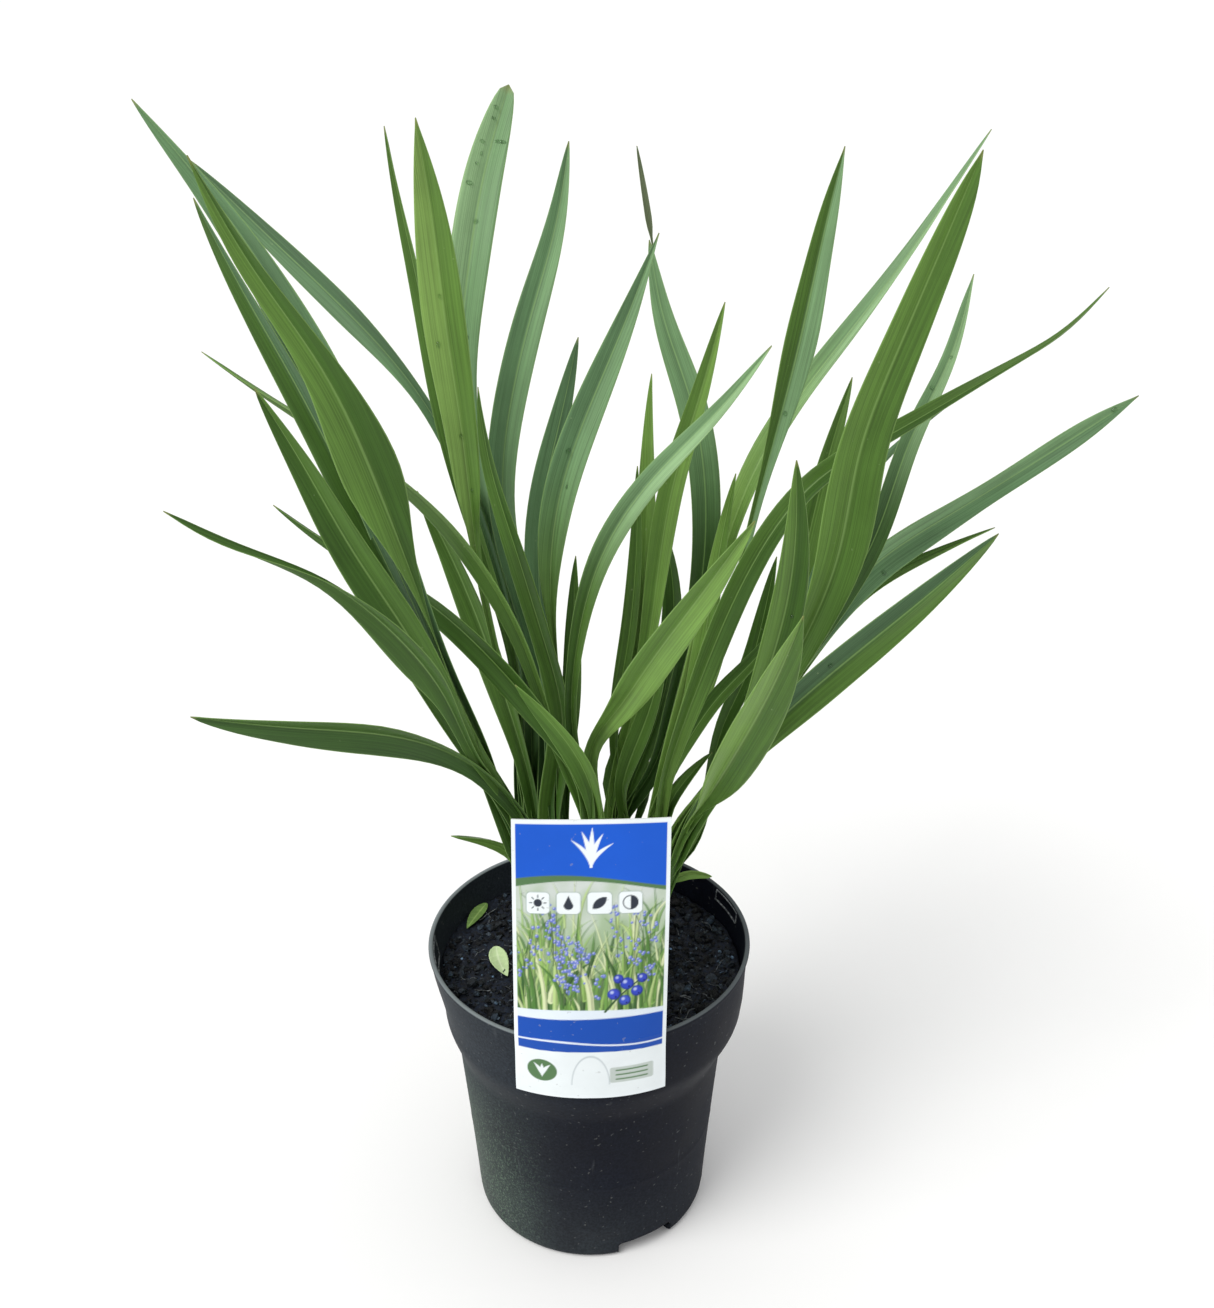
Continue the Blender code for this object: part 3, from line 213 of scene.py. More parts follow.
# Each leaf: its width, where along it that width is, how blunt its tip is (low is blunt),
# the turn of its face from the front in degrees at base, middle and tip,
# the points that its midrib passes between the shoot's throat and its tip,
# and, where they aren't the usual ones, the share of its width at its neck,
# where the neck is on the way to the widest place, and the share of its width at its foot.
# A leaf with a shape of its own has widths at shares of its length in place of these.
SHOOTS = {
    "shoot_1": Shoot((-15, -10), (-26, -14, 200), (
        Leaf("a", 19, 0.62, 0.80, (10, 10, 20), ((-42, -20, 249), (-55, -24, 289), (-70, -20, 337),
            (-88, -12, 387), (-106, 0, 420), (-132, 15, 456), (-157, 25, 485))),
        Leaf("b", 20, 0.65, 0.85, (0, -10, 15), ((-43, -34, 259), (-58, -48, 323), (-71, -56, 375),
            (-84, -64, 415), (-101, -70, 448), (-115, -75, 481)), shape=((0.0, 4), (0.50, 4), (0.58, 13),
            (0.65, 20), (0.74, 15), (0.81, 10), (0.91, 6.5), (1.0, 0))),
        Leaf("c", 14, 0.62, 0.75, (20, 20, 20), ((-44, -24, 251), (-66, -26, 311), (-84, -20, 354),
            (-102, -14, 394), (-119, -5, 425), (-136, 10, 454))),
        Leaf("d", 17, 0.60, 0.75, (0, 0, 10), ((-45, -30, 255), (-65, -33, 302), (-84, -35, 340),
            (-99, -36, 374), (-112, -35, 399))),
        Leaf("e", 17, 0.60, 0.75, (0, 20, 80), ((-42, -42, 255), (-52, -64, 298), (-67, -76, 328),
            (-87, -84, 350), (-110, -90, 364), (-131, -95, 378)), shape=((0.0, 5), (0.42, 5), (0.50, 7.5),
            (0.60, 14), (0.70, 11), (0.82, 6.5), (0.93, 5), (1.0, 0))),
        Leaf("f", 17, 0.66, 0.75, (10, 15, 20), ((-34, -28, 233), (-52, -46, 261), (-73, -60, 277),
            (-106, -66, 284), (-141, -65, 288)), 0.48, 0.55),
        Leaf("g", 8, 0.60, 0.75, (0, 20, 40), ((-35, -13, 196), (-56, -20, 206))),
    )),
    "shoot_2": Shoot((-17, 15), (-25, 20, 182), (
        Leaf("a", 11.5, 0.74, 0.75, (0, 0, -10), ((-29, 30, 242), (-41, 44, 310), (-63, 64, 358),
            (-96, 88, 392), (-131, 110, 420), (-165, 130, 448)), 0.50, 0.78),
        Leaf("b", 9, 0.65, 0.75, (20, 30, 40), ((-28, 22, 246), (-41, 26, 313), (-54, 32, 365),
            (-62, 42, 410), (-69, 52, 445), (-74, 60, 471))),
        Leaf("c", 16, 0.72, 0.75, (0, 0, 0), ((-33, 18, 248), (-42.5, 18, 308), (-46.5, 18, 362),
            (-51, 18, 408), (-54, 17, 448), (-57, 12, 480)), shape=((0.0, 4), (0.44, 3.2), (0.51, 5),
            (0.56, 9), (0.66, 13), (0.79, 15.8), (0.87, 13), (0.94, 7.5), (1.0, 0))),
        Leaf("d", 18, 0.82, 0.42, (0, 0, 0), ((-25, 34, 244), (-43, 50, 325), (-50, 62, 377),
            (-46, 76, 414), (-39, 95, 449), (-29, 110, 480)), 0.52, 0.45, 0.46),
        Leaf("e", 14, 0.60, 0.75, (20, 20, 20), ((-31, 15, 240), (-43, 24, 278), (-57, 32, 313),
            (-68, 40, 333))),
    )),
    "shoot_3": Shoot((4, -20), (2, -26, 208), (
        Leaf("a", 12.5, 0.50, 0.75, (10, 15, 40), ((-2, -28, 239), (-15, -26, 261), (-36, -18, 285),
            (-64, -6, 307), (-97, 4, 324), (-120, 10, 339))),
        Leaf("b", 10, 0.55, 0.75, (20, 35, 60), ((-12, -16, 248), (-24, -8, 285), (-46, 6, 322),
            (-73, 26, 343), (-116, 50, 363), (-156, 72, 382))),
        Leaf("c", 10, 0.60, 0.75, (10, 10, 10), ((-1, -32, 243), (-12, -34, 264), (-27, -34, 283))),
    )),
    "shoot_4": Shoot((-3, 14), (-13, 14, 186), (
        Leaf("a", 14, 0.70, 0.75, (10, 10, 10), ((-16, 21, 228), (-20, 27, 267), (-33, 37, 330),
            (-29, 48, 368), (-20, 62, 401), (-10, 78, 433), (-5, 90, 461)), 0.62, 0.45, 0.56),
        Leaf("b", 15, 0.55, 0.75, (20, 20, 30), ((-10, 10, 238), (-17, 8, 281), (-28, 4, 326),
            (-36, 4, 359), (-39, 4, 387)), shape=((0.0, 8), (0.35, 10.5), (0.50, 8.8), (0.65, 8.8),
            (0.80, 6.8), (0.90, 4.8), (1.0, 0))),
        Leaf("c", 12, 0.70, 0.75, (20, 20, 10), ((-15, 18, 253), (-19, 26, 299), (-16, 34, 335),
            (-9, 42, 364), (-2, 50, 393))),
        Leaf("d", 15, 0.75, 0.75, (10, 10, 10), ((-11, 12, 251), (-14, 10, 298), (-9, 8, 345), (3, 5, 381),
            (17, 5, 415), (27, 5, 442)), shape=((0.0, 4), (0.44, 4), (0.55, 10.3), (0.68, 12.8), (0.85, 9),
            (1.0, 0))),
        Leaf("e", 9, 0.60, 0.75, (10, 20, 20), ((-6, 18, 248), (-5, 24, 282), (-4, 28, 309))),
    )),
    "shoot_5": Shoot((8, -4), (5, -8, 198), (
        Leaf("a", 9.5, 0.66, 0.75, (10, 20, 30), ((-5, -8, 241), (-4, -16, 288), (8, -34, 340),
            (26, -50, 374), (45, -62, 400), (59, -70, 422))),
        Leaf("b", 15.5, 0.60, 0.75, (0, 0, 0), ((1, -14, 238), (10, -34, 270), (24, -64, 310),
            (38, -86, 344), (52, -105, 377)), 0.42, 0.50, 0.24),
    )),
    "shoot_6": Shoot((14, 24), (15, 24, 179), (
        Leaf("a", 10.5, 0.58, 0.75, (20, 20, 40), ((17, 28, 222), (22, 32, 264), (25, 40, 306),
            (26, 45, 341), (27, 50, 378))),
        Leaf("b", 11, 0.65, 0.75, (20, 20, 20), ((22, 26, 248), (29, 24, 300), (35, 20, 344),
            (44, 18, 379), (52, 15, 415))),
        Leaf("c", 14, 0.70, 0.75, (0, 0, 0), ((27, 28, 205), (37, 36, 233), (48, 48, 279), (51, 62, 320),
            (45, 78, 358), (34, 92, 389), (28, 106, 419)), 0.72),
        Leaf("d", 12, 0.55, 0.75, (30, 30, 20), ((29, 36, 223), (37, 48, 256), (37, 60, 288),
            (31, 70, 313)), 0.70),
        Leaf("e", 8, 0.60, 0.75, (30, 30, 20), ((12, 26, 224), (17, 30, 265), (21, 34, 313),
            (21, 34, 345))),
        Leaf("f", 10, 0.60, 0.75, (30, 30, 20), ((15, 16, 205), (24, 14, 238), (33, 14, 277))),
        Leaf("g", 9, 0.60, 0.75, (30, 30, 20), ((11, 24, 197), (15, 28, 217), (20, 34, 239))),
        Leaf("h", 5, 0.60, 0.75, (30, 30, 30), ((25, 28, 192), (26, 34, 206), (24, 42, 217))),
    )),
    "shoot_7": Shoot((18, 3), (29, 6, 188), (
        Leaf("a", 12.5, 0.72, 0.75, (0, 0, 10), ((35, 6, 220), (51, 8, 262), (63, 12, 318), (73, 18, 361),
            (81.5, 22, 399), (88, 25, 435), (94, 25, 468)), shape=((0.0, 4), (0.49, 3.2), (0.59, 4.2),
            (0.70, 9.8), (0.77, 12.2), (0.85, 9.9), (0.93, 6.3), (1.0, 0))),
        Leaf("b", 11, 0.56, 0.75, (20, 50, 75), ((41, 16, 253), (53, 28, 298), (68, 44, 336),
            (89, 64, 364), (113, 82, 389), (142, 98, 424), (168, 110, 462))),
        Leaf("c", 9, 0.60, 0.75, (20, 20, 20), ((43, 14, 247), (51, 22, 291), (57, 28, 328),
            (60, 30, 343))),
        Leaf("d", 11, 0.38, 0.75, (0, 50, 86), ((32, -8, 224), (45, -10, 272), (64, -4, 318), (88, 6, 348),
            (115, 16, 362), (143, 23, 376), (163, 26, 387), (182, 28, 399), (198, 30, 416))),
        Leaf("e", 8, 0.60, 0.75, (10, 40, 60), ((32, 2, 213), (42, 2, 238), (54, 5, 256), (68, 8, 271),
            (86, 14, 296))),
        Leaf("f", 7, 0.60, 0.75, (20, 40, 60), ((35, 0, 209), (44, 2, 222), (52, 6, 229))),
    )),
    "shoot_8": Shoot((25, 13), (41, 8, 185), (
        Leaf("a", 18, 0.58, 0.75, (0, 0, 0), ((57, -2, 226), (81, -5, 275), (96.5, -8, 326),
            (101.5, -8, 366), (111.5, -8, 401), (125, -6, 439), (136, -5, 471)), shape=((0.0, 5),
            (0.30, 7), (0.47, 15), (0.57, 20), (0.66, 18.6), (0.78, 15), (0.89, 11.5), (0.95, 7.5),
            (1.0, 0))),
        Leaf("b", 11, 0.54, 0.75, (10, 10, 50), ((61, 14, 220), (89, 24, 263), (119, 38, 311),
            (133.5, 52, 349), (149, 64, 379), (158, 75, 411)), shape=((0.0, 4), (0.40, 8), (0.62, 9.2),
            (0.76, 8.2), (0.86, 6.4), (0.95, 4), (1.0, 0))),
        Leaf("c", 15.5, 0.58, 0.75, (0, 0, 30), ((60, 14, 219), (85, 30, 252), (120, 54, 289),
            (158, 70, 309), (201, 82, 332), (239, 90, 355)), shape=((0.0, 5), (0.35, 8), (0.52, 15),
            (0.62, 14.5), (0.75, 10), (0.90, 8.5), (1.0, 0))),
        Leaf("d", 8, 0.60, 0.75, (20, 40, 75), ((62, 16, 218), (88, 34, 248), (122, 56, 280),
            (150, 66, 291), (179, 74, 301))),
        Leaf("e", 5.2, 0.55, 0.55, (0, 0, 0), ((37, 12, 160), (44.7, 13, 162.5), (54.5, 13.5, 160.5))),
        Leaf("f", 13, 0.60, 0.75, (0, 0, 0), ((70, 22, 240), (87, 38, 284), (95, 50, 315), (103, 60, 346),
            (111, 70, 370))),
        Leaf("g", 8, 0.50, 0.75, (0, 60, 85), ((71, 22, 245), (93, 34, 285), (108, 44, 322),
            (128, 56, 343), (158, 70, 363))),
        Leaf("h", 9, 0.66, 0.75, (10, 20, 30), ((57, 17, 234), (67, 22, 257), (73, 26, 280),
            (78, 30, 307))),
    )),
    "shoot_9": Shoot((20, -10), (38, -14, 198), (
        Leaf("a", 14, 0.66, 0.75, (0, 0, 0), ((51, -24, 234), (65, -40, 283), (71, -54, 327),
            (71, -64, 357), (69, -70, 384))),
        Leaf("b", 15, 0.70, 0.75, (0, 0, 0), ((44, -40, 232), (55, -68, 276), (63, -92, 315),
            (68, -110, 347)), shape=((0.0, 4.5), (0.34, 4.5), (0.48, 13.5), (0.76, 15), (0.88, 10),
            (1.0, 0))),
        Leaf("c", 16, 0.60, 0.75, (10, 10, 20), ((51, -24, 231), (71, -28, 260), (100, -28, 290),
            (131, -24, 317), (153, -20, 337))),
    )),
}
# a thread-like dry end that hangs on the tip of one leaf
WISP = Leaf("wisp", 3, 0.30, 0.60, (0, 0, 0), ((30, 103, 413), (27, 110, 432), (23, 118, 455)))
WISP_SHOOT = "shoot_6"
# Each dropped leaf: the places that its midrib passes, its width, its colour and its veins' colour
FALLEN = {
    "fallen_leaf_1": (((-48, 43), (-52, 34), (-56, 24)), 6.0, (112, 146, 74), (160, 190, 110)),
    "fallen_leaf_2": (((-42, 11), (-40, 0), (-36, -10)), 8.0, (196, 220, 164), (222, 238, 196)),
}
FALLEN_SECTIONS = 41
FALLEN_COLUMNS = 15
FALLEN_LIFT = 1.1
FALLEN_THICK = 0.35

# named leaf colours, as they look on a screen; the bluish 'blue', 'sheen', 'silver' and 'pale' stand for a
# painted sky sheen
TONES = {
    "black": (50, 78, 38),
    "deep": (56, 86, 38),
    "dark": (60, 92, 33),
    "mid": (74, 107, 42),
    "fresh": (91, 126, 53),
    "bright": (112, 148, 69),
    "lime": (130, 165, 84),
    "blue": (72, 102, 68),
    "sheen": (92, 126, 86),
    "silver": (114, 149, 104),
    "pale": (142, 176, 128),
    "dry": (92, 102, 76),
}
# The colour of each leaf left and right of its midrib at its foot, then the same higher up.
# These mix the leaf's colour with painted light and shade: one half of the fold is painted lighter and the
# other darker, and the feet are painted darker or lighter for the shade among the bases.
# A number gives the share of its length where the foot's colour has gone, if not the usual one.
LEAF_TONES_WITH_PAINTED_LIGHT = {
    "shoot_1": {"a": "dark fresh sheen sheen", "b": "mid dark fresh dark", "c": "deep deep dark blue",
        "d": "dark mid dark mid", "e": "mid dark dark dark 0.5", "f": "dark deep deep dark",
        "g": "mid mid fresh mid"},
    "shoot_2": {"a": "black deep sheen blue", "b": "deep deep mid mid", "c": "mid mid lime fresh 0.6",
        "d": "deep deep pale silver", "e": "dark deep mid mid"},
    "shoot_3": {"a": "mid mid dark dark", "b": "mid mid mid fresh", "c": "dark fresh mid fresh"},
    "shoot_4": {"a": "black deep sheen silver", "b": "fresh dark mid dark", "c": "deep dark sheen blue",
        "d": "fresh fresh sheen silver 0.72", "e": "deep dark dark mid"},
    "shoot_5": {"a": "dark mid silver pale 0.8", "b": "fresh fresh fresh bright"},
    "shoot_6": {"a": "fresh fresh bright bright", "b": "bright fresh fresh bright",
        "c": "deep deep silver silver 0.8", "d": "dark mid dark dark", "e": "mid mid mid mid",
        "f": "mid fresh mid mid", "g": "mid mid mid mid", "h": "mid dark dark dark"},
    "shoot_7": {"a": "lime bright mid silver 0.6", "b": "lime bright silver pale 0.75",
        "c": "lime bright bright fresh", "d": "fresh bright mid dark", "e": "fresh mid dark mid",
        "f": "mid fresh mid dark"},
    "shoot_8": {"a": "bright mid fresh mid", "b": "black deep silver pale 0.92",
        "c": "mid fresh silver sheen", "d": "mid fresh mid fresh", "e": "bright bright lime bright",
        "f": "mid mid mid fresh", "g": "mid mid sheen blue", "h": "deep dark dark dark"},
    "shoot_9": {"a": "fresh mid fresh dark", "b": "lime fresh bright mid", "c": "mid dark blue mid"},
}

# Water drops on each leaf: share of its length, place across, width across and length along
DROPS = (
    ("shoot_2", "d", ((0.968, -0.45, 2.8, 1.5), (0.955, -0.35, 2.2, 1.3), (0.930, 0.50, 5.4, 1.5),
        (0.924, -0.55, 2.2, 1.4), (0.910, -0.40, 1.1, 1.6), (0.897, -0.50, 1.6, 1.3),
        (0.872, -0.62, 3.0, 1.9), (0.830, 0.04, 2.2, 2.0), (0.785, -0.80, 1.3, 2.1),
        (0.690, 0.35, 1.4, 2.2),)),
    ("shoot_2", "c", ((0.745, -0.45, 1.7, 2.4), (0.800, -0.10, 1.1, 1.6), (0.630, -0.10, 1.5, 1.8),
        (0.560, 0.30, 1.3, 2.0),)),
    ("shoot_4", "d", ((0.690, -0.25, 1.8, 2.4), (0.640, 0.30, 1.2, 1.6),)),
    ("shoot_6", "a", ((0.520, 0.45, 1.5, 2.0), (0.470, -0.30, 1.3, 1.6),)),
    ("shoot_1", "a", ((0.740, 0.30, 1.7, 2.1), (0.710, 0.45, 1.4, 1.5),)),
    ("shoot_8", "c", ((0.550, 0.60, 2.4, 1.7), (0.960, -0.30, 1.8, 2.8),)),
    ("shoot_8", "b", ((0.830, -0.40, 1.8, 1.8), (0.880, 0.20, 1.4, 1.7),)),
    ("shoot_9", "c", ((0.620, -0.45, 1.7, 1.9), (0.460, -0.20, 2.4, 1.8),)),
    ("shoot_7", "a", ((0.680, 0.30, 1.6, 2.0),)),
    ("shoot_9", "a", ((0.700, 0.40, 1.3, 1.8),)),
)
DROP_SWELL = 0.42           # height of a drop against its smaller breadth

# surroundings
FLOOR_HALF = 30000.0
FLOOR_Z = -0.0002           # metres, so that the pot's foot doesn't flicker in the floor
SENSOR = 36.0
FOCAL_SHARE = 1500.0 / 1308.0       # the photograph's focal length against its height, both in pixels
CAMERA_TURNS = (0.88, 26.97, -0.17)     # degrees: to the right, down, and round the line of sight
CAMERA_PLACE = (0.0, -0.5324, 0.5494)   # metres


def screen(colour):
    """Linear values of a colour given as it looks on a screen."""
    share = np.asarray(colour, float) / 255.0
    return np.where(share <= 0.04045, share / 12.92, ((share + 0.055) / 1.055) ** 2.4)


def smoothstep(value):
    """Rise smoothly from 0 to 1."""
    held = np.clip(value, 0.0, 1.0)
    return held * held * (3.0 - 2.0 * held)


def finish_piece(obj, slot, *nodes):
    """Let a piece ride on the part and stand for its nodes; its slot is not used."""
    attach(obj, BODY)
    if nodes:
        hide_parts(*nodes)


def add_object(name, data):
    """A new object of the scene for a mesh, a light or a camera."""
    obj = bpy.data.objects.new(name, data)
    bpy.context.scene.collection.objects.link(obj)
    return obj


def make_mesh(name, points, faces, look, smooth=True):
    """One object from points in millimetres."""
    mesh = bpy.data.meshes.new(name)
    mesh.from_pydata(np.asarray(points, float) * MM, [], faces)
    mesh.materials.append(look)
    mesh.polygons.foreach_set("use_smooth", [smooth] * len(mesh.polygons))
    mesh.update()
    return add_object(name, mesh)


def make_block(name, points, faces, look, smooth=True):
    """One closed object whose faces all point away from its inside."""
    obj = make_mesh(name, points, faces, look, smooth)
    shape = bmesh.new()
    shape.from_mesh(obj.data)
    bmesh.ops.recalc_face_normals(shape, faces=shape.faces)
    shape.to_mesh(obj.data)
    shape.free()
    return obj


def joined(parts):
    """The points and faces of several meshes as those of one mesh."""
    points, faces, count = [], [], 0
    for some_points, some_faces in parts:
        points.append(np.asarray(some_points, float))
        faces += [[corner + count for corner in face] for face in some_faces]
        count += len(some_points)
    return np.concatenate(points), faces


def grid_faces(rows, columns, closed):
    """Quads of a grid of points, closed round its columns or not."""
    across = np.arange(columns if closed else columns - 1)
    row, column = np.meshgrid(np.arange(rows - 1), across, indexing="ij")
    here, there = row * columns, (row + 1) * columns
    after = (column + 1) % columns
    return np.stack([here + column, here + after, there + after, there + column], -1).reshape(-1, 4).tolist()


def sheet_faces(sections, columns):
    """Faces of a thin sheet whose sections run over its front and back again, with closed ends."""
    ring = 2 * columns
    faces = grid_faces(sections, ring, True)
    last = (sections - 1) * ring
    for column in range(columns - 1):
        end = (column, column + 1, ring - 2 - column, ring - 1 - column)
        faces.append(end[::-1])
        faces.append(tuple(last + corner for corner in end))
    return faces


def ring_angles(sides):
    """Angles of the points of a ring."""
    return np.arange(sides) * 2.0 * math.pi / sides


def turned_block(name, rings, low, high, look):
    """A closed object of rings of points, with a fan of faces at each end round a point on the axis."""
    count, sides = len(rings), len(rings[0])
    faces = grid_faces(count, sides, True)
    top = (count - 1) * sides
    for step in range(sides):
        after = (step + 1) % sides
        faces.append((count * sides, after, step))
        faces.append((count * sides + 1, top + step, top + after))
    ends = np.array([[0.0, 0.0, low], [0.0, 0.0, high]])
    return make_block(name, np.concatenate([*rings, ends]), faces, look)


def map_pairs(across, along):
    """Pairs of map values for every point of a grid."""
    return np.stack(np.broadcast_arrays(across, along), -1).reshape(-1, 2)


def paint(obj, name, colours):
    """Store one linear colour for each point of a piece."""
    layer = obj.data.color_attributes.new(name, "FLOAT_COLOR", "POINT")
    values = np.ones((len(obj.data.vertices), 4), np.float32)
    values[:, :3] = colours
    layer.data.foreach_set("color", values.ravel())


def map_points(obj, name, pairs):
    """Store a UV map given one pair of values for each point."""
    layer = obj.data.uv_layers.new(name=name)
    corner = np.zeros(len(obj.data.loops), np.int64)
    obj.data.loops.foreach_get("vertex_index", corner)
    layer.data.foreach_set("uv", np.asarray(pairs, np.float32)[corner].ravel())


# Shader helpers

class Look:
    """A material whose nodes are added one call at a time, with the colour that is built up so far."""

    def __init__(self, name, roughness, specular=0.5):
        """Start a material with its roughness and the strength of its sheen."""
        self.material = bpy.data.materials.new(name)
        self.material.use_nodes = True
        self.tree = self.material.node_tree
        self.shader = self.tree.nodes["Principled BSDF"]
        self.shader.inputs["Roughness"].default_value = roughness
        self.shader.inputs["Specular IOR Level"].default_value = specular
        self.body = None

    def put(self, socket, value):
        """Set an input to a number or a colour, or link an output to it."""
        if isinstance(value, bpy.types.NodeSocket):
            self.tree.links.new(value, socket)
        else:
            socket.default_value = value

    def node(self, kind, **settings):
        """Add a node with some of its settings."""
        made = self.tree.nodes.new(kind)
        for key, value in settings.items():
            setattr(made, key, value)
        return made

    def math(self, operation, first, second=0.0):
        """Work out one number from two."""
        made = self.node("ShaderNodeMath", operation=operation)
        self.put(made.inputs[0], first)
        self.put(made.inputs[1], second)
        return made.outputs[0]

    def times(self, first, second):
        """Multiply two numbers."""
        return self.math("MULTIPLY", first, second)

    def plus(self, first, second):
        """Add two numbers."""
        return self.math("ADD", first, second)

    def split(self, vector):
        """The three parts of a place."""
        made = self.node("ShaderNodeSeparateXYZ")
        self.put(made.inputs[0], vector)
        return made.outputs

    def ramp(self, value, low, high, to_low=0.0, to_high=1.0):
        """Map a range smoothly onto another."""
        made = self.node("ShaderNodeMapRange", interpolation_type="SMOOTHSTEP")
        for slot, number in zip(("Value", "From Min", "From Max", "To Min", "To Max"),
                                (value, low, high, to_low, to_high)):
            self.put(made.inputs[slot], number)
        return made.outputs["Result"]

    def noise(self, vector, scale, detail=3.0, roughness=0.55):
        """Cloudy values at about the given number of clouds to the metre."""
        made = self.node("ShaderNodeTexNoise")
        self.put(made.inputs["Vector"], vector)
        made.inputs["Scale"].default_value = scale
        made.inputs["Detail"].default_value = detail
        made.inputs["Roughness"].default_value = roughness
        return made.outputs["Fac"]

    def stretched(self, vector, factors):
        """A place scaled by a factor for each direction."""
        made = self.node("ShaderNodeVectorMath", operation="MULTIPLY")
        self.put(made.inputs[0], vector)
        made.inputs[1].default_value = factors
        return made.outputs[0]

    def mix(self, share, first, second):
        """Blend two colours, each an output or a colour as it looks on a screen."""
        made = self.node("ShaderNodeMix", data_type="RGBA")
        self.put(made.inputs["Factor"], share)
        for key, value in ((6, first), (7, second)):
            if isinstance(value, bpy.types.NodeSocket):
                self.put(made.inputs[key], value)
            else:
                made.inputs[key].default_value = (*screen(value), 1.0)
        return made.outputs[2]

    def vary(self, cloud, low, high):
        """Spread the usual values of a noise over a range."""
        return self.ramp(cloud, 0.3, 0.7, low, high)

    def coat(self, share, colour):
        """Cover the body's colour by a share with another."""
        self.body = self.mix(share, self.body, colour)

    def shade(self, factor):
        """Make the body's colour lighter or darker by a factor."""
        made = self.node("ShaderNodeVectorMath", operation="SCALE")
        self.put(made.inputs[0], self.body)
        self.put(made.inputs["Scale"], factor)
        self.body = made.outputs[0]

    def object_place(self):
        """The place on the object in metres."""
        return self.node("ShaderNodeTexCoord").outputs["Object"]

    def uv(self, name):
        """A UV map of the piece."""
        return self.node("ShaderNodeUVMap", uv_map=name).outputs["UV"]

    def painted(self, name):
        """A colour painted on the piece's points."""
        return self.node("ShaderNodeVertexColor", layer_name=name).outputs["Color"]

    def roughness(self, value):
        """Set how dull the surface is."""
        self.put(self.shader.inputs["Roughness"], value)

    def bump(self, height, distance, strength=1.0):
        """Make the surface uneven by up to a distance in millimetres."""
        made = self.node("ShaderNodeBump")
        made.inputs["Distance"].default_value = distance * MM
        made.inputs["Strength"].default_value = strength
        self.put(made.inputs["Height"], height)
        self.put(self.shader.inputs["Normal"], made.outputs["Normal"])

    def finished(self):
        """Give the surface the colour that was built up."""
        self.put(self.shader.inputs["Base Color"], self.body)
        return self.material


def leaf_look():
    """Satin leaf: fine veins along it, a pale midrib and pale margins, painted shade along the fold's crease,
    a dry tip and faint blotches.
    """
    look = Look("leaf_surface", 0.44, 0.20)
    across, along, _ = look.split(look.uv("leaf"))
    grain = look.uv("grain")
    veins = look.noise(look.stretched(grain, (2.4, 0.014, 0.0)), 1.0, 2.0, 0.55)
    bands = look.noise(look.stretched(grain, (0.42, 0.006, 0.0)), 1.0, 1.0, 0.5)
    cloud = look.noise(look.object_place(), 38.0, 3.0)
    marks = look.noise(look.object_place(), 420.0, 1.0, 0.4)
    from_middle = look.math("ABSOLUTE", look.math("SUBTRACT", across, 0.5))
    from_crease = look.math("ABSOLUTE", look.math("SUBTRACT", from_middle, 0.055))
    midrib = look.ramp(from_middle, 0.004, 0.034, 1.0, 0.0)
    # painted shade in the crease on each side of the midrib
    crease_shade = look.ramp(from_crease, 0.0, 0.035, 1.0, 0.0)
    margin = look.ramp(from_middle, 0.470, 0.494)
    factor = look.plus(look.vary(veins, 0.80, 1.16), look.vary(bands, -0.08, 0.08))
    factor = look.plus(factor, look.vary(cloud, -0.07, 0.07))
    look.body = look.painted("tone")
    look.shade(look.math("SUBTRACT", factor, look.times(crease_shade, 0.07)))
    look.coat(look.times(midrib, 0.34), (156, 192, 112))
    look.coat(look.times(margin, 0.42), (150, 186, 106))
    look.coat(look.ramp(marks, 0.78, 0.84, 0.0, 0.20), (176, 196, 146))
    look.coat(look.ramp(along, 0.985, 0.999, 0.0, 0.55), (140, 136, 82))
    look.roughness(look.vary(cloud, 0.36, 0.50))
    look.bump(look.plus(look.times(veins, 0.7), look.times(midrib, 0.5)), 0.20, 0.5)
    return look.finished()


def sheath_look():
    """Bases that wrap each shoot: pale green, brown and papery at the soil."""
    look = Look("sheath_surface", 0.55, 0.35)
    along = look.split(look.uv("leaf"))[1]
    veins = look.noise(look.stretched(look.uv("grain"), (1.6, 0.02, 0.0)), 1.0, 2.0)
    cloud = look.noise(look.object_place(), 60.0, 3.0)
    look.body = look.painted("tone")
    look.shade(look.vary(veins, 0.75, 1.15))
    brown = look.times(look.ramp(along, 0.02, 0.24, 0.9, 0.0), look.ramp(cloud, 0.25, 0.6, 0.3, 1.0))
    look.coat(brown, (92, 82, 52))
    look.bump(veins, 0.3, 0.7)
    return look.finished()


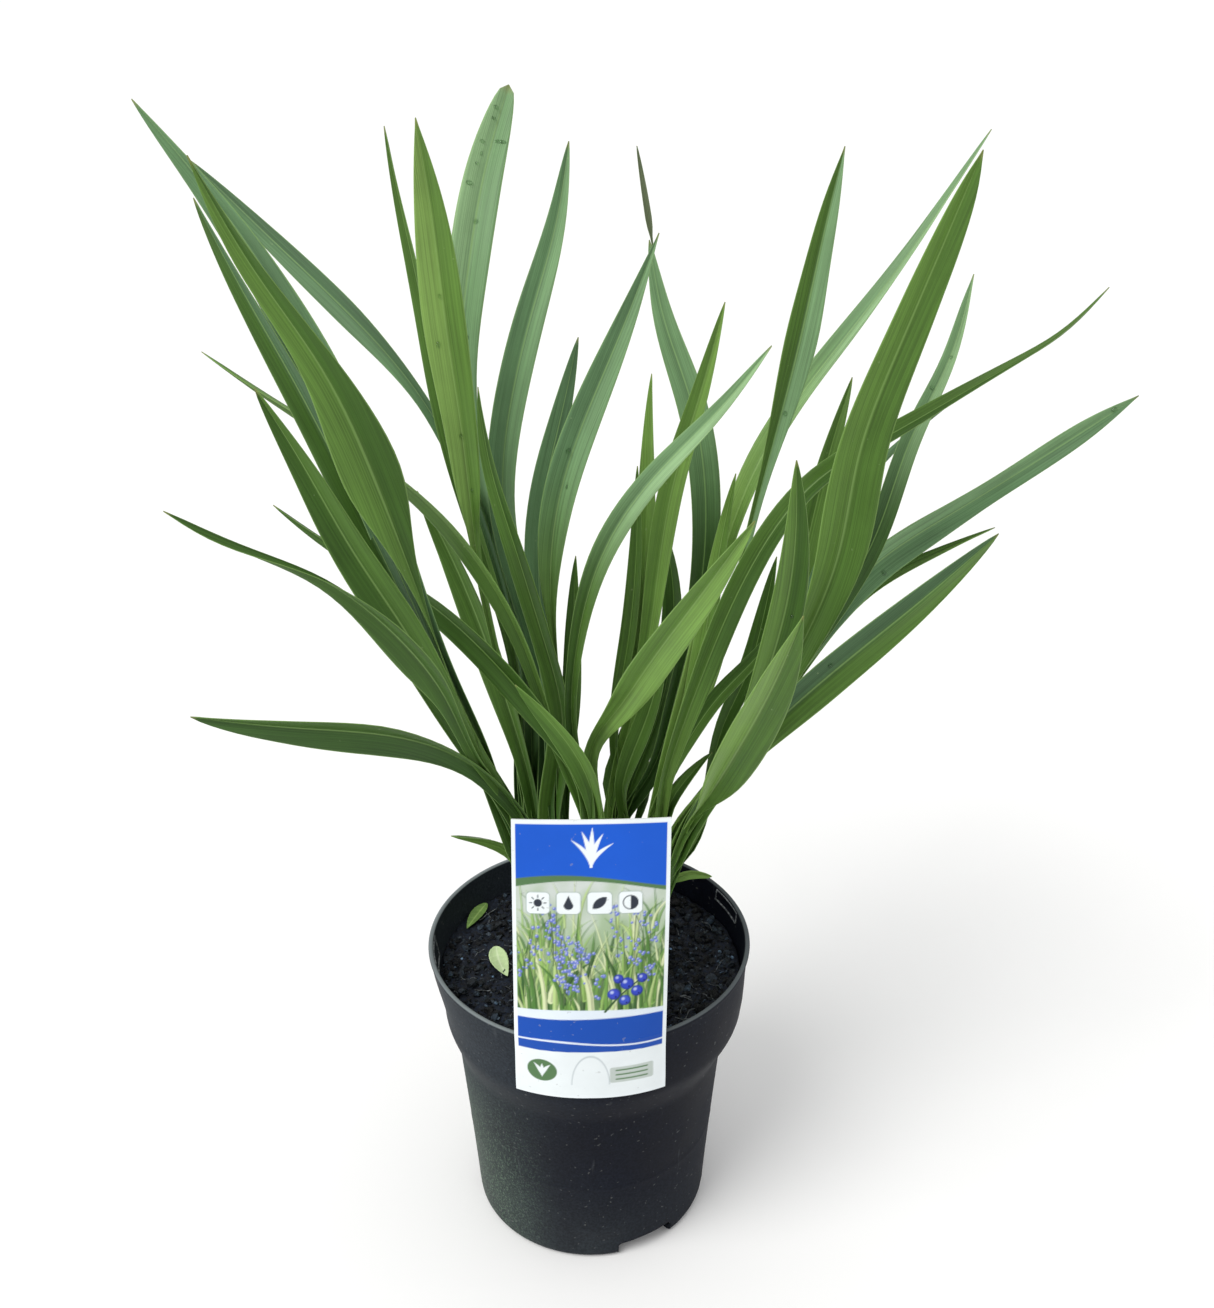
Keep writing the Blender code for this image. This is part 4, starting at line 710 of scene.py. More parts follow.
def pot_look():
    """Thin black moulded plastic with dust, a painted sheen on its left side, a painted green reflection low
    on the left, a lighter grey towards the foot on the left, a rim that is rubbed and has a painted
    highlight, faint scuffs and a fine grain.
    """
    look = Look("pot_surface", 0.40, 0.07)
    place = look.object_place()
    cloud = look.noise(place, 16.0, 4.0)
    grain = look.noise(place, 900.0, 2.0)
    dust = look.noise(place, 520.0, 1.0, 0.4)
    scuff = look.noise(look.stretched(place, (240.0, 240.0, 26.0)), 1.0, 3.0)
    speck = look.ramp(look.noise(place, 1150.0, 2.0, 0.6), 0.50, 0.68)
    aside, _, height = look.split(place)
    # painted sheen: the left side of the pot is painted lighter grey for the light that falls on it from the
    # left
    left_sheen = look.ramp(aside, -0.064, 0.012, 1.0, 0.0)
    low = look.times(look.ramp(height, 0.0, 0.055, 1.0, 0.0), look.ramp(aside, -0.030, 0.045, 1.0, 0.2))
    # painted reflection: green painted low on the left side, with brighter green spots in it
    green_reflection = look.times(look.ramp(aside, -0.062, -0.012, 1.0, 0.0), look.ramp(height, 0.020, 0.112, 1.0, 0.0))
    # the top of the lip is painted light grey: partly rubbed wear and partly a painted highlight that is
    # brighter on the left
    rim_top_band = look.ramp(height, (RIM_Z - 0.75) * MM, (RIM_Z - 0.15) * MM)
    rim_wear_and_highlight = look.times(rim_top_band, look.ramp(aside, -0.060, 0.050, 1.0, 0.45))
    look.body = look.mix(look.ramp(cloud, 0.30, 0.75), (15, 17, 26), (22, 26, 36))
    look.coat(look.times(left_sheen, look.ramp(cloud, 0.25, 0.7, 0.25, 0.6)), (58, 65, 70))
    look.coat(look.times(low, look.vary(cloud, 0.15, 0.45)), (70, 77, 78))
    look.coat(look.times(green_reflection, look.ramp(cloud, 0.3, 0.6, 0.15, 0.45)), (82, 98, 80))
    look.coat(look.times(green_reflection, look.times(speck, 0.6)), (122, 150, 124))
    look.shade(look.ramp(grain, 0.32, 0.68, 0.78, 1.20))
    look.coat(look.times(rim_wear_and_highlight, look.vary(cloud, 0.65, 1.0)), (132, 140, 142))
    look.coat(look.ramp(scuff, 0.66, 0.78, 0.0, 0.16), (96, 100, 104))
    look.coat(look.ramp(dust, 0.70, 0.78, 0.0, 0.26), (120, 122, 120))
    look.roughness(look.vary(cloud, 0.48, 0.64))
    look.bump(look.plus(look.times(grain, 0.35), look.times(scuff, 0.3)), 0.16, 0.5)
    return look.finished()


def grey_mark_look():
    """Grey line, lighter than the black plastic round it."""
    look = Look("grey_mark_plastic", 0.55, 0.3)
    place = look.object_place()
    look.body = look.mix(look.ramp(look.noise(place, 600.0, 2.0), 0.35, 0.65), (70, 75, 80), (140, 144, 147))
    look.bump(look.noise(place, 900.0, 2.0), 0.1, 0.5)
    return look.finished()


def soil_look(name):
    """Damp dark potting mix with painted grey glints."""
    look = Look(name, 0.86, 0.30)
    place = look.object_place()
    fine = look.noise(place, 620.0, 4.0, 0.65)
    coarse = look.noise(place, 150.0, 4.0, 0.6)
    light = look.noise(place, 760.0, 1.0, 0.3)
    look.body = look.painted("tone")
    look.shade(look.ramp(fine, 0.34, 0.66, 0.28, 2.1))
    look.shade(look.vary(coarse, 0.7, 1.25))
    # pale grey specks painted as glints of light
    look.coat(look.ramp(light, 0.73, 0.79, 0.0, 0.5), (96, 100, 98))
    look.roughness(look.ramp(fine, 0.35, 0.65, 0.48, 0.95))
    look.bump(look.plus(fine, look.times(coarse, 0.8)), 0.9, 0.9)
    return look.finished()


def card_look():
    """Printed card under a thin gloss film, with a faint waviness and fine dust."""
    look = Look("printed_card", 0.46, 0.14)
    place = look.object_place()
    dust = look.noise(place, 480.0, 1.0, 0.4)
    look.body = look.painted("print")
    look.shade(look.vary(look.noise(place, 45.0, 3.0), 0.88, 0.94))
    look.coat(look.ramp(dust, 0.72, 0.78, 0.0, 0.3), (150, 152, 150))
    look.roughness(look.vary(look.noise(place, 60.0, 3.0), 0.40, 0.54))
    look.bump(look.noise(place, 70.0, 2.0), 0.12, 0.35)
    return look.finished()


def plain_card_look():
    """Bare white card of the back, the cut edge and the tongue."""
    look = Look("plain_card", 0.5, 0.4)
    place = look.object_place()
    look.body = look.mix(look.vary(look.noise(place, 90.0, 3.0), 0.0, 1.0), (226, 230, 230), (240, 243, 243))
    look.bump(look.noise(place, 700.0, 2.0), 0.05, 0.5)
    return look.finished()


def fallen_look():
    """Small dropped leaf with a dull surface."""
    look = Look("fallen_surface", 0.6, 0.35)
    place = look.object_place()
    look.body = look.painted("tone")
    look.shade(look.vary(look.noise(place, 130.0, 3.0), 0.86, 1.12))
    look.bump(look.noise(place, 380.0, 2.0), 0.2, 0.5)
    return look.finished()


def drop_look():
    """Clear water."""
    look = Look("water", 0.03, 0.5)
    look.shader.inputs["Transmission Weight"].default_value = 1.0
    look.shader.inputs["IOR"].default_value = 1.33
    look.shader.inputs["Base Color"].default_value = (0.80, 0.90, 0.78, 1.0)
    return look.material


# Pot

def outer_radius(z):
    """Radius of the pot's outside at a height, before the collar is pushed over."""
    if z >= COLLAR_FOOT_Z:
        return COLLAR_FOOT_R + (RIM_R - COLLAR_FOOT_R) * (z - COLLAR_FOOT_Z) / (RIM_Z - COLLAR_FOOT_Z)
    if z >= SHOULDER_Z:
        rise = smoothstep((z - SHOULDER_Z) / (COLLAR_FOOT_Z - SHOULDER_Z)) ** 0.9
        return SHOULDER_R + (COLLAR_FOOT_R - SHOULDER_R) * rise
    return BASE_R + (SHOULDER_R - BASE_R) * (max(z, 0.0) / SHOULDER_Z) ** 1.15


def push(z, angle):
    """How far the collar's wall is moved outwards at one place by its skew."""
    rise = smoothstep(1.0 - abs(z - SKEW_Z) / SKEW_SPREAD)
    return COLLAR_SKEW * np.cos(angle) * float(rise)


def pot_profile():
    """Radius, height and share of outside relief, down the floor, up the wall and down the inside."""
    outline = []
    for turn in np.linspace(0.0, math.pi / 2.0, FOOT_ARC + 1):
        outline.append((BASE_R - BASE_FILLET + BASE_FILLET * math.sin(turn),
                        BASE_FILLET * (1.0 - math.cos(turn)), 0.0))
    for z in (*BODY_HEIGHTS, *np.linspace(SHOULDER_Z, COLLAR_FOOT_Z, 12), *COLLAR_HEIGHTS):
        outline.append((outer_radius(z), z, 1.0))
    lip = WALL / 2.0
    for turn in np.linspace(0.0, math.pi, LIP_ARC + 1):
        radius = RIM_R - lip + (lip + LIP_SWELL) * math.cos(turn)
        outline.append((radius, RIM_Z - lip + lip * math.sin(turn), 0.0))
    for z in (*INNER_COLLAR_HEIGHTS, *np.linspace(COLLAR_FOOT_Z, SHOULDER_Z, 8), *INNER_BODY_HEIGHTS):
        outline.append((outer_radius(z) - WALL, z, 0.0))
    outline.append((outer_radius(WALL) - WALL - INNER_FILLET, WALL, 0.0))
    return outline


def wall_relief(z, angle):
    """Small moulded steps on the outside of the pot, in millimetres."""
    relief = np.zeros_like(angle)
    degrees = np.degrees(angle)
    if BASE_FILLET < z < GROOVE_TOP:
        for groove in GROOVE_ANGLES:
            aside = np.radians((degrees - groove + 180.0) % 360.0 - 180.0) * BASE_R
            relief -= GROOVE_DEPTH * np.exp(-(aside / GROOVE_HALF) ** 2)
        degrees = (degrees + 180.0) % 360.0 - 180.0
        relief -= FLAT_DEPTH * ((degrees > FLAT_FROM) & (degrees < FLAT_TO))
    return relief + RING_HEIGHT * math.exp(-((z - RING_Z) / RING_HALF) ** 2)


def skewed_ring(radius, z, angle, relief=0.0):
    """Points of a level ring round the pot's axis, moved outwards with the collar and by a relief."""
    reach = radius + push(z, angle) + relief
    return np.stack([reach * np.cos(angle), reach * np.sin(angle), np.full(len(angle), z)], -1)


def notch_cutter(middle, look):
    """A block that cuts one drain notch with rounded top corners through the foot of the wall."""
    inner, outer = BASE_R - NOTCH_DEPTH, BASE_R + CUT_PAST
    points = []
    for share in np.linspace(0.0, 1.0, NOTCH_COLUMNS):
        turn = math.radians(middle + NOTCH_SPAN * (share - 0.5))
        side = min(share, 1.0 - share) * math.radians(NOTCH_SPAN) * outer
        top = NOTCH_HEIGHT - NOTCH_ROUND * (1.0 - min(1.0, side / NOTCH_ROUND)) ** 2
        for radius, z in ((inner, -1.0), (outer, -1.0), (outer, top), (inner, top)):
            points.append((radius * math.cos(turn), radius * math.sin(turn), z))
    return make_block("notch", points, sheet_faces(NOTCH_COLUMNS, 2), look)


def cut(obj, cutters):
    """Take the cutters from a piece."""
    pool = bpy.data.collections.new("pool")
    bpy.context.scene.collection.children.link(pool)
    for cutter in cutters:
        bpy.context.scene.collection.objects.unlink(cutter)
        pool.objects.link(cutter)
    modifier = obj.modifiers.new("cut", "BOOLEAN")
    modifier.operation = "DIFFERENCE"
    modifier.operand_type = "COLLECTION"
    modifier.collection = pool
    modifier.solver = "MANIFOLD"
    bpy.context.view_layer.update()
    result = bpy.data.meshes.new_from_object(obj.evaluated_get(bpy.context.evaluated_depsgraph_get()))
    obj.modifiers.clear()
    obj.data = result
    for cutter in cutters:
        bpy.data.objects.remove(cutter, do_unlink=True)
    bpy.data.collections.remove(pool)


def make_pot():
    """The thin pot with collar, lip, notches, grooves and a faint ring."""
    look = pot_look()
    angle = ring_angles(POT_SIDES)
    profile = pot_profile()
    rings = [skewed_ring(radius, z, angle, raised * wall_relief(z, angle)) for radius, z, raised in profile]
    pot = turned_block("pot_shell", rings, profile[0][1], profile[-1][1], look)
    cut(pot, [notch_cutter(middle, look) for middle in NOTCH_ANGLES])
    pot.data.set_sharp_from_angle(angle=math.radians(POT_CREASE))
    finish_piece(pot, "pot_plastic", "pot")


def wall_bar(path, upright):
    """Points and faces of a thin raised bar on the inside wall that follows angles and heights."""
    points = []
    for angle, z in path:
        turn = math.radians(angle)
        aside = np.array([-math.sin(turn), math.cos(turn), 0.0] if upright else [0.0, 0.0, 1.0])
        radius = outer_radius(z) + float(push(z, turn)) - WALL
        for out, off in MARK_BAR:
            centre = np.array([(radius + out) * math.cos(turn), (radius + out) * math.sin(turn), z])
            points.append(centre + aside * off * MARK_WIDTH)
    return points, sheet_faces(len(path), 2)


def make_wall_marks():
    """Moulded rectangles on the inside of the collar, one to each side."""
    look = grey_mark_look()
    for name, (first, last, low, high) in WALL_MARKS.items():
        bars = [wall_bar([(angle, z) for angle in np.linspace(first, last, 9)], False) for z in (low, high)]
        bars += [wall_bar([(angle, z) for z in np.linspace(low, high, 4)], True) for angle in (first, last)]
        finish_piece(make_block(name, *joined(bars), look, smooth=False), "pot_plastic")


# Soil

def soil_height(x, y):
    """Height of the soil's gently uneven top."""
    inside = 1.0 - smoothstep((np.hypot(x, y) - LEVEL_FROM_R) / (LEVEL_AT_R - LEVEL_FROM_R))
    swell = np.sin(x / SWELL_X + SWELL_SHIFT) * np.cos(y / SWELL_Y - SWELL_SHIFT)
    return SOIL_Z + SOIL_SWELL * inside * swell


def waves(x, y, sizes, seed):
    """A sum of waves in random directions, between about -1 and 1."""
    chance = np.random.default_rng(seed)
    total = np.zeros_like(x)
    for size in sizes:
        turn, phase = chance.uniform(0.0, 2.0 * math.pi, 2)
        total += np.sin((x * math.cos(turn) + y * math.sin(turn)) * 2.0 * math.pi / size + phase)
    return total / math.sqrt(len(sizes))


def make_soil():
    """The block of potting mix with a lumpy top."""
    inset = WALL + GAP
    angle = ring_angles(SOIL_SIDES)
    rings = [skewed_ring(outer_radius(inset) - inset - SOIL_FOOT_INSET, inset, angle)]
    rings += [skewed_ring(outer_radius(z) - inset, z, angle) for z in SOIL_HEIGHTS]
    for step in range(SOIL_RINGS):
        radius = (outer_radius(SOIL_Z) - inset) * (1.0 - step / SOIL_RINGS)
        x, y = radius * np.cos(angle), radius * np.sin(angle)
        lumps = sum(height * waves(x, y, sizes, seed) for height, sizes, seed in LUMPS)
        rings.append(np.stack([x, y, soil_height(x, y) + lumps - LUMPS_SINK], -1))
    soil = turned_block("soil_body", rings, inset, float(soil_height(0.0, 0.0)), soil_look("soil_surface"))
    paint(soil, "tone", screen((20, 26, 37)))
    finish_piece(soil, "potting_mix", "soil")


def ball(level):
    """Points and triangles of a round block with few faces."""
    shape = bmesh.new()
    bmesh.ops.create_icosphere(shape, subdivisions=level, radius=1.0)
    points = np.array([vert.co for vert in shape.verts])
    faces = [[vert.index for vert in face.verts] for face in shape.faces]
    shape.free()
    return points, faces


def bark_bit(chance, shape, size):
    """Points of one uneven flat block that is turned at random."""
    scale = size * np.array([1.0, chance.uniform(0.45, 0.9), chance.uniform(0.3, 0.7)])
    bit = shape * (1.0 + chance.uniform(-0.28, 0.28, (len(shape), 1))) * scale
    spin = Matrix.Rotation(chance.uniform(0.0, 6.28), 3, "Z")
    for axis in "XY":
        spin = spin @ Matrix.Rotation(chance.uniform(-0.7, 0.7), 3, axis)
    return bit @ np.array(spin).T


def bark_tone(chance, level):
    """A grey for one bit, more or less cool."""
    shade = min(chance.choice(BARK_SHADES, p=BARK_SHARES), BARK_LIGHTEST[level])
    cool = chance.uniform(1.20, 1.60)
    return screen((shade, shade * (0.5 + 0.5 * cool), shade * cool))


def make_bark():
    """Loose bits of bark and fibre that lie half sunk in the top of the mix."""
    chance = np.random.default_rng(21)
    bits, colours = [], []
    reach = outer_radius(SOIL_Z) - WALL - BARK_FROM_WALL
    clear = [spot for route, *_ in FALLEN.values() for spot in route]
    for level, number, small, large in BARK_KINDS:
        shape, corners = ball(level)
        for _ in range(number):
            radius = reach * math.sqrt(chance.uniform(0.0, 1.0))
            turn = chance.uniform(0.0, 2.0 * math.pi)
            size = chance.uniform(small, large)
            radius = min(radius, reach - size)
            bit = bark_bit(chance, shape, size)
            x, y = radius * math.cos(turn), radius * math.sin(turn)
            if any(math.hypot(x - px, y - py) < size + BARK_FROM_LEAF for px, py in clear):
                continue
            bit += (x, y, float(soil_height(x, y)) + chance.uniform(-0.35, 0.45) * size)
            bits.append((bit, corners))
            colours.append(np.tile(bark_tone(chance, level), (len(bit), 1)))
    bark = make_mesh("bark_bits", *joined(bits), soil_look("bark_surface"), smooth=False)
    paint(bark, "tone", np.concatenate(colours))
    finish_piece(bark, "potting_mix")


def fibre_line(chance, x, y, heading, step):
    """The places that one fibre passes on the mix, and the way that it heads at its end."""
    line = []
    for _ in range(FIBRE_STEPS):
        line.append((x, y, float(soil_height(x, y)) + 0.9 + chance.uniform(-0.3, 0.5)))
        heading += chance.uniform(-0.5, 0.5)
        x, y = x + step * math.cos(heading), y + step * math.sin(heading)
        if math.hypot(x, y) > FIBRE_END_R:
            break
    return line, heading


def make_fibres():
    """Thin pale roots and fibres that lie on the mix."""
    chance = np.random.default_rng(33)
    fibres = []
    for _ in range(FIBRES):
        radius = FIBRE_R * math.sqrt(chance.uniform(0.05, 1.0))
        turn, heading = chance.uniform(0.0, 2.0 * math.pi, 2)
        thick = chance.uniform(0.13, 0.28)
        step = chance.uniform(0.9, 1.7)
        line, heading = fibre_line(chance, radius * math.cos(turn), radius * math.sin(turn), heading, step)
        if len(line) < 4:
            continue
        round_x = -thick * math.sin(heading) * np.cos(ring_angles(FIBRE_SIDES))
        round_y = thick * math.cos(heading) * np.cos(ring_angles(FIBRE_SIDES))
        section = np.stack([round_x, round_y, thick * np.sin(ring_angles(FIBRE_SIDES))], -1)
        points = np.array(line)[:, None, :] + section
        fibres.append((points.reshape(-1, 3), grid_faces(len(line), FIBRE_SIDES, True)))
    fibre = make_mesh("root_fibres", *joined(fibres), soil_look("fibre_surface"))
    paint(fibre, "tone", screen((84, 88, 90)))
    finish_piece(fibre, "potting_mix")


# Leaves

def smooth_path(points, at):
    """A natural cubic through the points, sampled at shares of its length."""
    knots = np.asarray(points, float)
    reach = np.concatenate([[0.0], np.cumsum(np.linalg.norm(np.diff(knots, axis=0), axis=1))])
    count = len(knots)
    gaps = np.diff(reach)
    left = np.eye(count)
    right = np.zeros((count, 3))
    for i in range(1, count - 1):
        left[i, i - 1:i + 2] = gaps[i - 1], 2.0 * (gaps[i - 1] + gaps[i]), gaps[i]
        right[i] = 3.0 * ((knots[i + 1] - knots[i]) / gaps[i] - (knots[i] - knots[i - 1]) / gaps[i - 1])
    bend = np.linalg.solve(left, right)
    fine = np.linspace(0.0, reach[-1], 400)
    span = np.clip(np.searchsorted(reach, fine, side="right") - 1, 0, count - 2)
    past = (fine - reach[span])[:, None]
    gap = gaps[span][:, None]
    slope = (knots[span + 1] - knots[span]) / gap - gap * (2.0 * bend[span] + bend[span + 1]) / 3.0
    curve = knots[span] + slope * past + bend[span] * past ** 2
    curve = curve + (bend[span + 1] - bend[span]) / (3.0 * gap) * past ** 3
    run = np.concatenate([[0.0], np.cumsum(np.linalg.norm(np.diff(curve, axis=0), axis=1))])
    return np.stack([np.interp(np.asarray(at) * run[-1], run, curve[:, k]) for k in range(3)], -1)


def usual_width(share, leaf):
    """Width along a blade: narrow where it is folded, then wide, then a point."""
    neck_share = leaf.widest * leaf.neck_at
    low = leaf.foot + (leaf.neck - leaf.foot) * smoothstep(share / neck_share)
    high = leaf.neck + (1.0 - leaf.neck) * smoothstep((share - neck_share) / (leaf.widest - neck_share))
    rise = np.where(share < neck_share, low, high)
    taper = np.sin(math.pi / 2.0 * np.clip((1.0 - share) / (1.0 - leaf.widest), 0.0, 1.0)) ** leaf.tip
    return leaf.width * math.cos(math.radians(WIDE_FOLD)) * rise * taper


def shaped_width(share, leaf):
    """Width along a blade that has a shape of its own."""
    knots = [(place * SHAPE_STRETCH, width, 0.0) for place, width in leaf.shape]
    curve = smooth_path(knots, np.linspace(0.0, 1.0, SHAPE_STEPS))
    return np.interp(share * SHAPE_STRETCH, curve[:, 0], curve[:, 1])


def half_width(share, leaf):
    """Half the width of the leaf's skin across its folded blade."""
    seen = shaped_width(share, leaf) if leaf.shape else usual_width(share, leaf)
    return np.maximum(seen / 2.0 / np.cos(fold(share, leaf)), FINE_TIP_HALF)


def fold(share, leaf):
    """How far each half of the blade is folded up, in radians."""
    places = [0.0, leaf.widest * NECK_FOLD_AT, leaf.widest, TIP_FOLD_FROM, 1.0]
    return np.radians(np.interp(share, places, [FOOT_FOLD, NECK_FOLD, WIDE_FOLD, WIDE_FOLD, TIP_FOLD]))


def blade_frame(path, share, turn):
    """Across and facing directions at each point of a midrib."""
    along = np.gradient(path, axis=0)
    along /= np.linalg.norm(along, axis=1)[:, None]
    front = np.array([0.0, -1.0, 0.0])
    facing = front - (along @ front)[:, None] * along
    facing /= np.linalg.norm(facing, axis=1)[:, None]
    across = np.cross(along, facing)
    to_middle = smoothstep((share - TURN_FROM) / (TURN_MIDDLE - TURN_FROM))
    to_tip = smoothstep((share - TURN_MIDDLE) / (1.0 - TURN_MIDDLE))
    turned = turn[0] + (turn[1] - turn[0]) * to_middle + (turn[2] - turn[1]) * to_tip
    angle = np.radians(turned)[:, None]
    return across * np.cos(angle) + facing * np.sin(angle), facing * np.cos(angle) - across * np.sin(angle)


def leaf_tones_with_painted_light(name, share, side):
    """Colours over one leaf with painted light and shade: foot to tip, and a lighter and a darker half left
    and right of the midrib.
    """
    words = name.split()
    foot_left, foot_right, left, right = (screen(TONES[tone]) for tone in words[:4])
    gone = float(words[4]) if len(words) > 4 else TONE_GONE
    up = smoothstep((share - gone + TONE_RUN) / TONE_RUN)[:, None, None]
    # one half of the fold is painted lighter and the other darker, meeting sharply at the midrib
    over = smoothstep((side + 0.05) / 0.10)[None, :, None]
    low = foot_left + (foot_right - foot_left) * over
    high = left + (right - left) * over
    return low + (high - low) * up


def cupped(reach):
    """How far a folded half has risen at shares of its width; it is a little rounded."""
    return 1.06 * reach ** 0.86 - 0.06 * reach ** 4


def edge_ripples(run, seed):
    """Gentle waves of a blade's left and right edge along its length."""
    phases = np.random.default_rng(seed).uniform(0.0, 6.28, (2, 2))
    return [np.sin(run / long + first) + SHORT_RIPPLE * np.sin(run / short + second)
            for (long, short), (first, second) in zip(RIPPLES, phases)]


def blade_section(half, bent, side, sway, thick):
    """How far aside and how far up a blade's two faces lie from its midrib."""
    reach = np.abs(side)
    out = half * np.cos(bent) * side
    lift = half * np.sin(bent) * cupped(reach) + sway
    slope = np.gradient(lift, axis=1) / np.maximum(np.gradient(out, axis=1), 1e-4)
    steep = np.sqrt(1.0 + slope ** 2)
    keel = KEEL * np.exp(-(reach / KEEL_HALF) ** 2) * np.minimum(half / 4.0, 1.0)
    depth = np.minimum(thick * (1.0 - 0.55 * reach ** 2) + keel, 0.25 + half * 0.3)
    return (out, lift), (out + depth * slope / steep, lift - depth / steep)


def blade_mesh(leaf, start, tone, seed, thick=LEAF_THICK, start_size=START_SIZE):
    """Points, faces, tones and maps of one curved and folded strap leaf."""
    knots = np.array([*start, *leaf.route], float)
    length = np.linalg.norm(np.diff(knots, axis=0), axis=1).sum()
    sections = max(LEAST_SECTIONS, int(length / SECTION_STEP))
    share = 1.0 - (1.0 - np.linspace(0.0, 1.0, sections)) ** TIP_CROWDING
    path = smooth_path(knots, share)
    across, facing = blade_frame(path, share, leaf.turn)
    size = start_size + (1.0 - start_size) * smoothstep(share * length / START_RUN)
    half = (half_width(share, leaf) * size)[:, None]
    even = np.linspace(-1, 1, 2 * HALF_COLUMNS + 1)
    side = np.sign(even) * np.abs(even) ** COLUMN_CROWDING
    swing = RIPPLE * half[:, 0] * smoothstep(share / 0.3)
    left, right = (ripple * swing for ripple in edge_ripples(length * share, seed))
    sway = np.where(side < 0, left[:, None], right[:, None]) * np.abs(side) ** 3
    section = blade_section(half, fold(share, leaf)[:, None], side, sway, thick)
    top, under = (path[:, None] + across[:, None] * out[..., None] + facing[:, None] * lift[..., None]
                  for out, lift in section)
    rows = np.concatenate([top, under[:, ::-1]], axis=1)
    tones = leaf_tones_with_painted_light(tone, share, side)
    tones = np.concatenate([tones, (tones * UNDER_TINT)[:, ::-1]], axis=1)
    both = np.concatenate([side, side[::-1]])
    apart = seed * MAP_STEP + np.repeat((0.0, UNDER_MAP_STEP), len(side))
    leaf_uv = map_pairs((both + 1.0) / 2.0, share[:, None])
    grain_uv = map_pairs(both * half + apart, (share * length)[:, None])
    return rows.reshape(-1, 3), sheet_faces(sections, len(side)), tones.reshape(-1, 3), leaf_uv, grain_uv


def shoot_line(shoot):
    """The foot and the throat of a shoot as points."""
    return np.array([*shoot.foot, SPRING_Z]), np.array(shoot.throat, float)


def core_mesh(shoot, seed):
    """The slim base inside the wrapped leaves."""
    foot, throat = shoot_line(shoot)
    turn = ring_angles(CORE_SIDES)
    share = np.linspace(0.0, 1.0, CORE_LEVELS)
    rows = []
    for step in share:
        x, y, z = foot + (throat - foot) * step
        size = CORE_SIZE - (CORE_SIZE - CORE_THROAT_SIZE) * step
        size = size * (1.0 + 0.05 * np.cos(5.0 * turn + 2.0 * step))
        rows.append(np.stack([x + FOOT_A * size * np.cos(turn), y + FOOT_B * size * np.sin(turn),
                              np.full(CORE_SIDES, z)], -1))
    rows[0][:, 2] = FOOT_Z
    count = CORE_LEVELS * CORE_SIDES
    faces = grid_faces(CORE_LEVELS, CORE_SIDES, True)
    faces += [tuple(range(CORE_SIDES))[::-1], tuple(range(count - CORE_SIDES, count))]
    tones = np.tile(screen(TONES["dark"]), (count, 1))
    leaf_uv = map_pairs(np.full((1, CORE_SIDES), 0.25), share[:, None])
    grain_uv = map_pairs(turn * 5.0 + seed * CORE_MAP_STEP, share[:, None] * 70.0)
    return np.concatenate(rows), faces, tones, leaf_uv, grain_uv


def sheath_leaf(shoot, order):
    """One wrapping base and its first point: keeled, to the left or the right, with a short tip."""
    foot, throat = shoot_line(shoot)
    left = -1.0 if order % 2 == 0 else 1.0
    reach = 0.62 + 0.2 * order
    aside = np.array([left * (2.6 - 0.5 * order), 0.0, 0.0])
    low = np.array([*shoot.foot, FOOT_Z + 8.0]) + aside
    points = [foot + (throat - foot) * reach * part + aside * (1.0 - 0.2 * part)
              for part in (0.30, 0.62, 1.0)]
    points[-1] = points[-1] + np.array([left * 2.5, 0.0, 0.0])
    turn = (-left * SHEATH_TURN,) * 3
    return Leaf("sheath", 15.0 - 1.5 * order, 0.30, 0.85, turn, tuple(map(tuple, points))), [low]


def leaf_start(shoot, place):
    """First points of a leaf's midrib, inside the shoot's base."""
    foot, throat = shoot_line(shoot)
    middle = (len(shoot.leaves) - 1) / 2.0
    aside = np.array([(place - middle) * FAN_STEP, (place % 2 - 0.5) * FAN_STAGGER, 0.0])
    if shoot.leaves[place].route[0][2] < throat[2] + LOW_LEAF:
        return [foot + (throat - foot) * LOW_START + aside * START_SPREAD]
    return [foot + (throat - foot) * LEAF_START + aside * START_SPREAD, throat + aside]


def blade_spot(leaf, start, share, side):
    """A place on a blade's upper face and the directions across, along and out of it there."""
    near = share + np.array([-0.005, 0.0, 0.005])
    path = smooth_path([*start, *leaf.route], near)
    across, facing = (part[1] for part in blade_frame(path, near, leaf.turn))
    half, bent = half_width(near, leaf)[1], fold(near, leaf)[1]
    lift = half * math.sin(bent) * cupped(abs(side))
    centre = path[1] + across * half * math.cos(bent) * side + facing * lift
    out = facing * math.cos(bent) - across * math.sin(bent) * math.copysign(1.0, side)
    over = across * math.cos(bent) + facing * math.sin(bent) * math.copysign(1.0, side)
    return centre, over, np.cross(out, over), out


def make_drops():
    """Small water drops that cling to some of the leaves."""
    look = drop_look()
    shape, corners = ball(3)
    drops = []
    for name, letter, spots in DROPS:
        shoot = SHOOTS[name]
        place = [leaf.name for leaf in shoot.leaves].index(letter)
        for share, side, wide, long in spots:
            centre, *ways = blade_spot(shoot.leaves[place], leaf_start(shoot, place), share, side)
            halves = (wide / 2.0, long / 2.0, min(wide, long) * DROP_SWELL)
            drops.append((centre + sum(shape[:, k:k + 1] * ways[k] * halves[k] for k in range(3)), corners))
    finish_piece(make_block("water_drops", *joined(drops), look), "leaf_green")


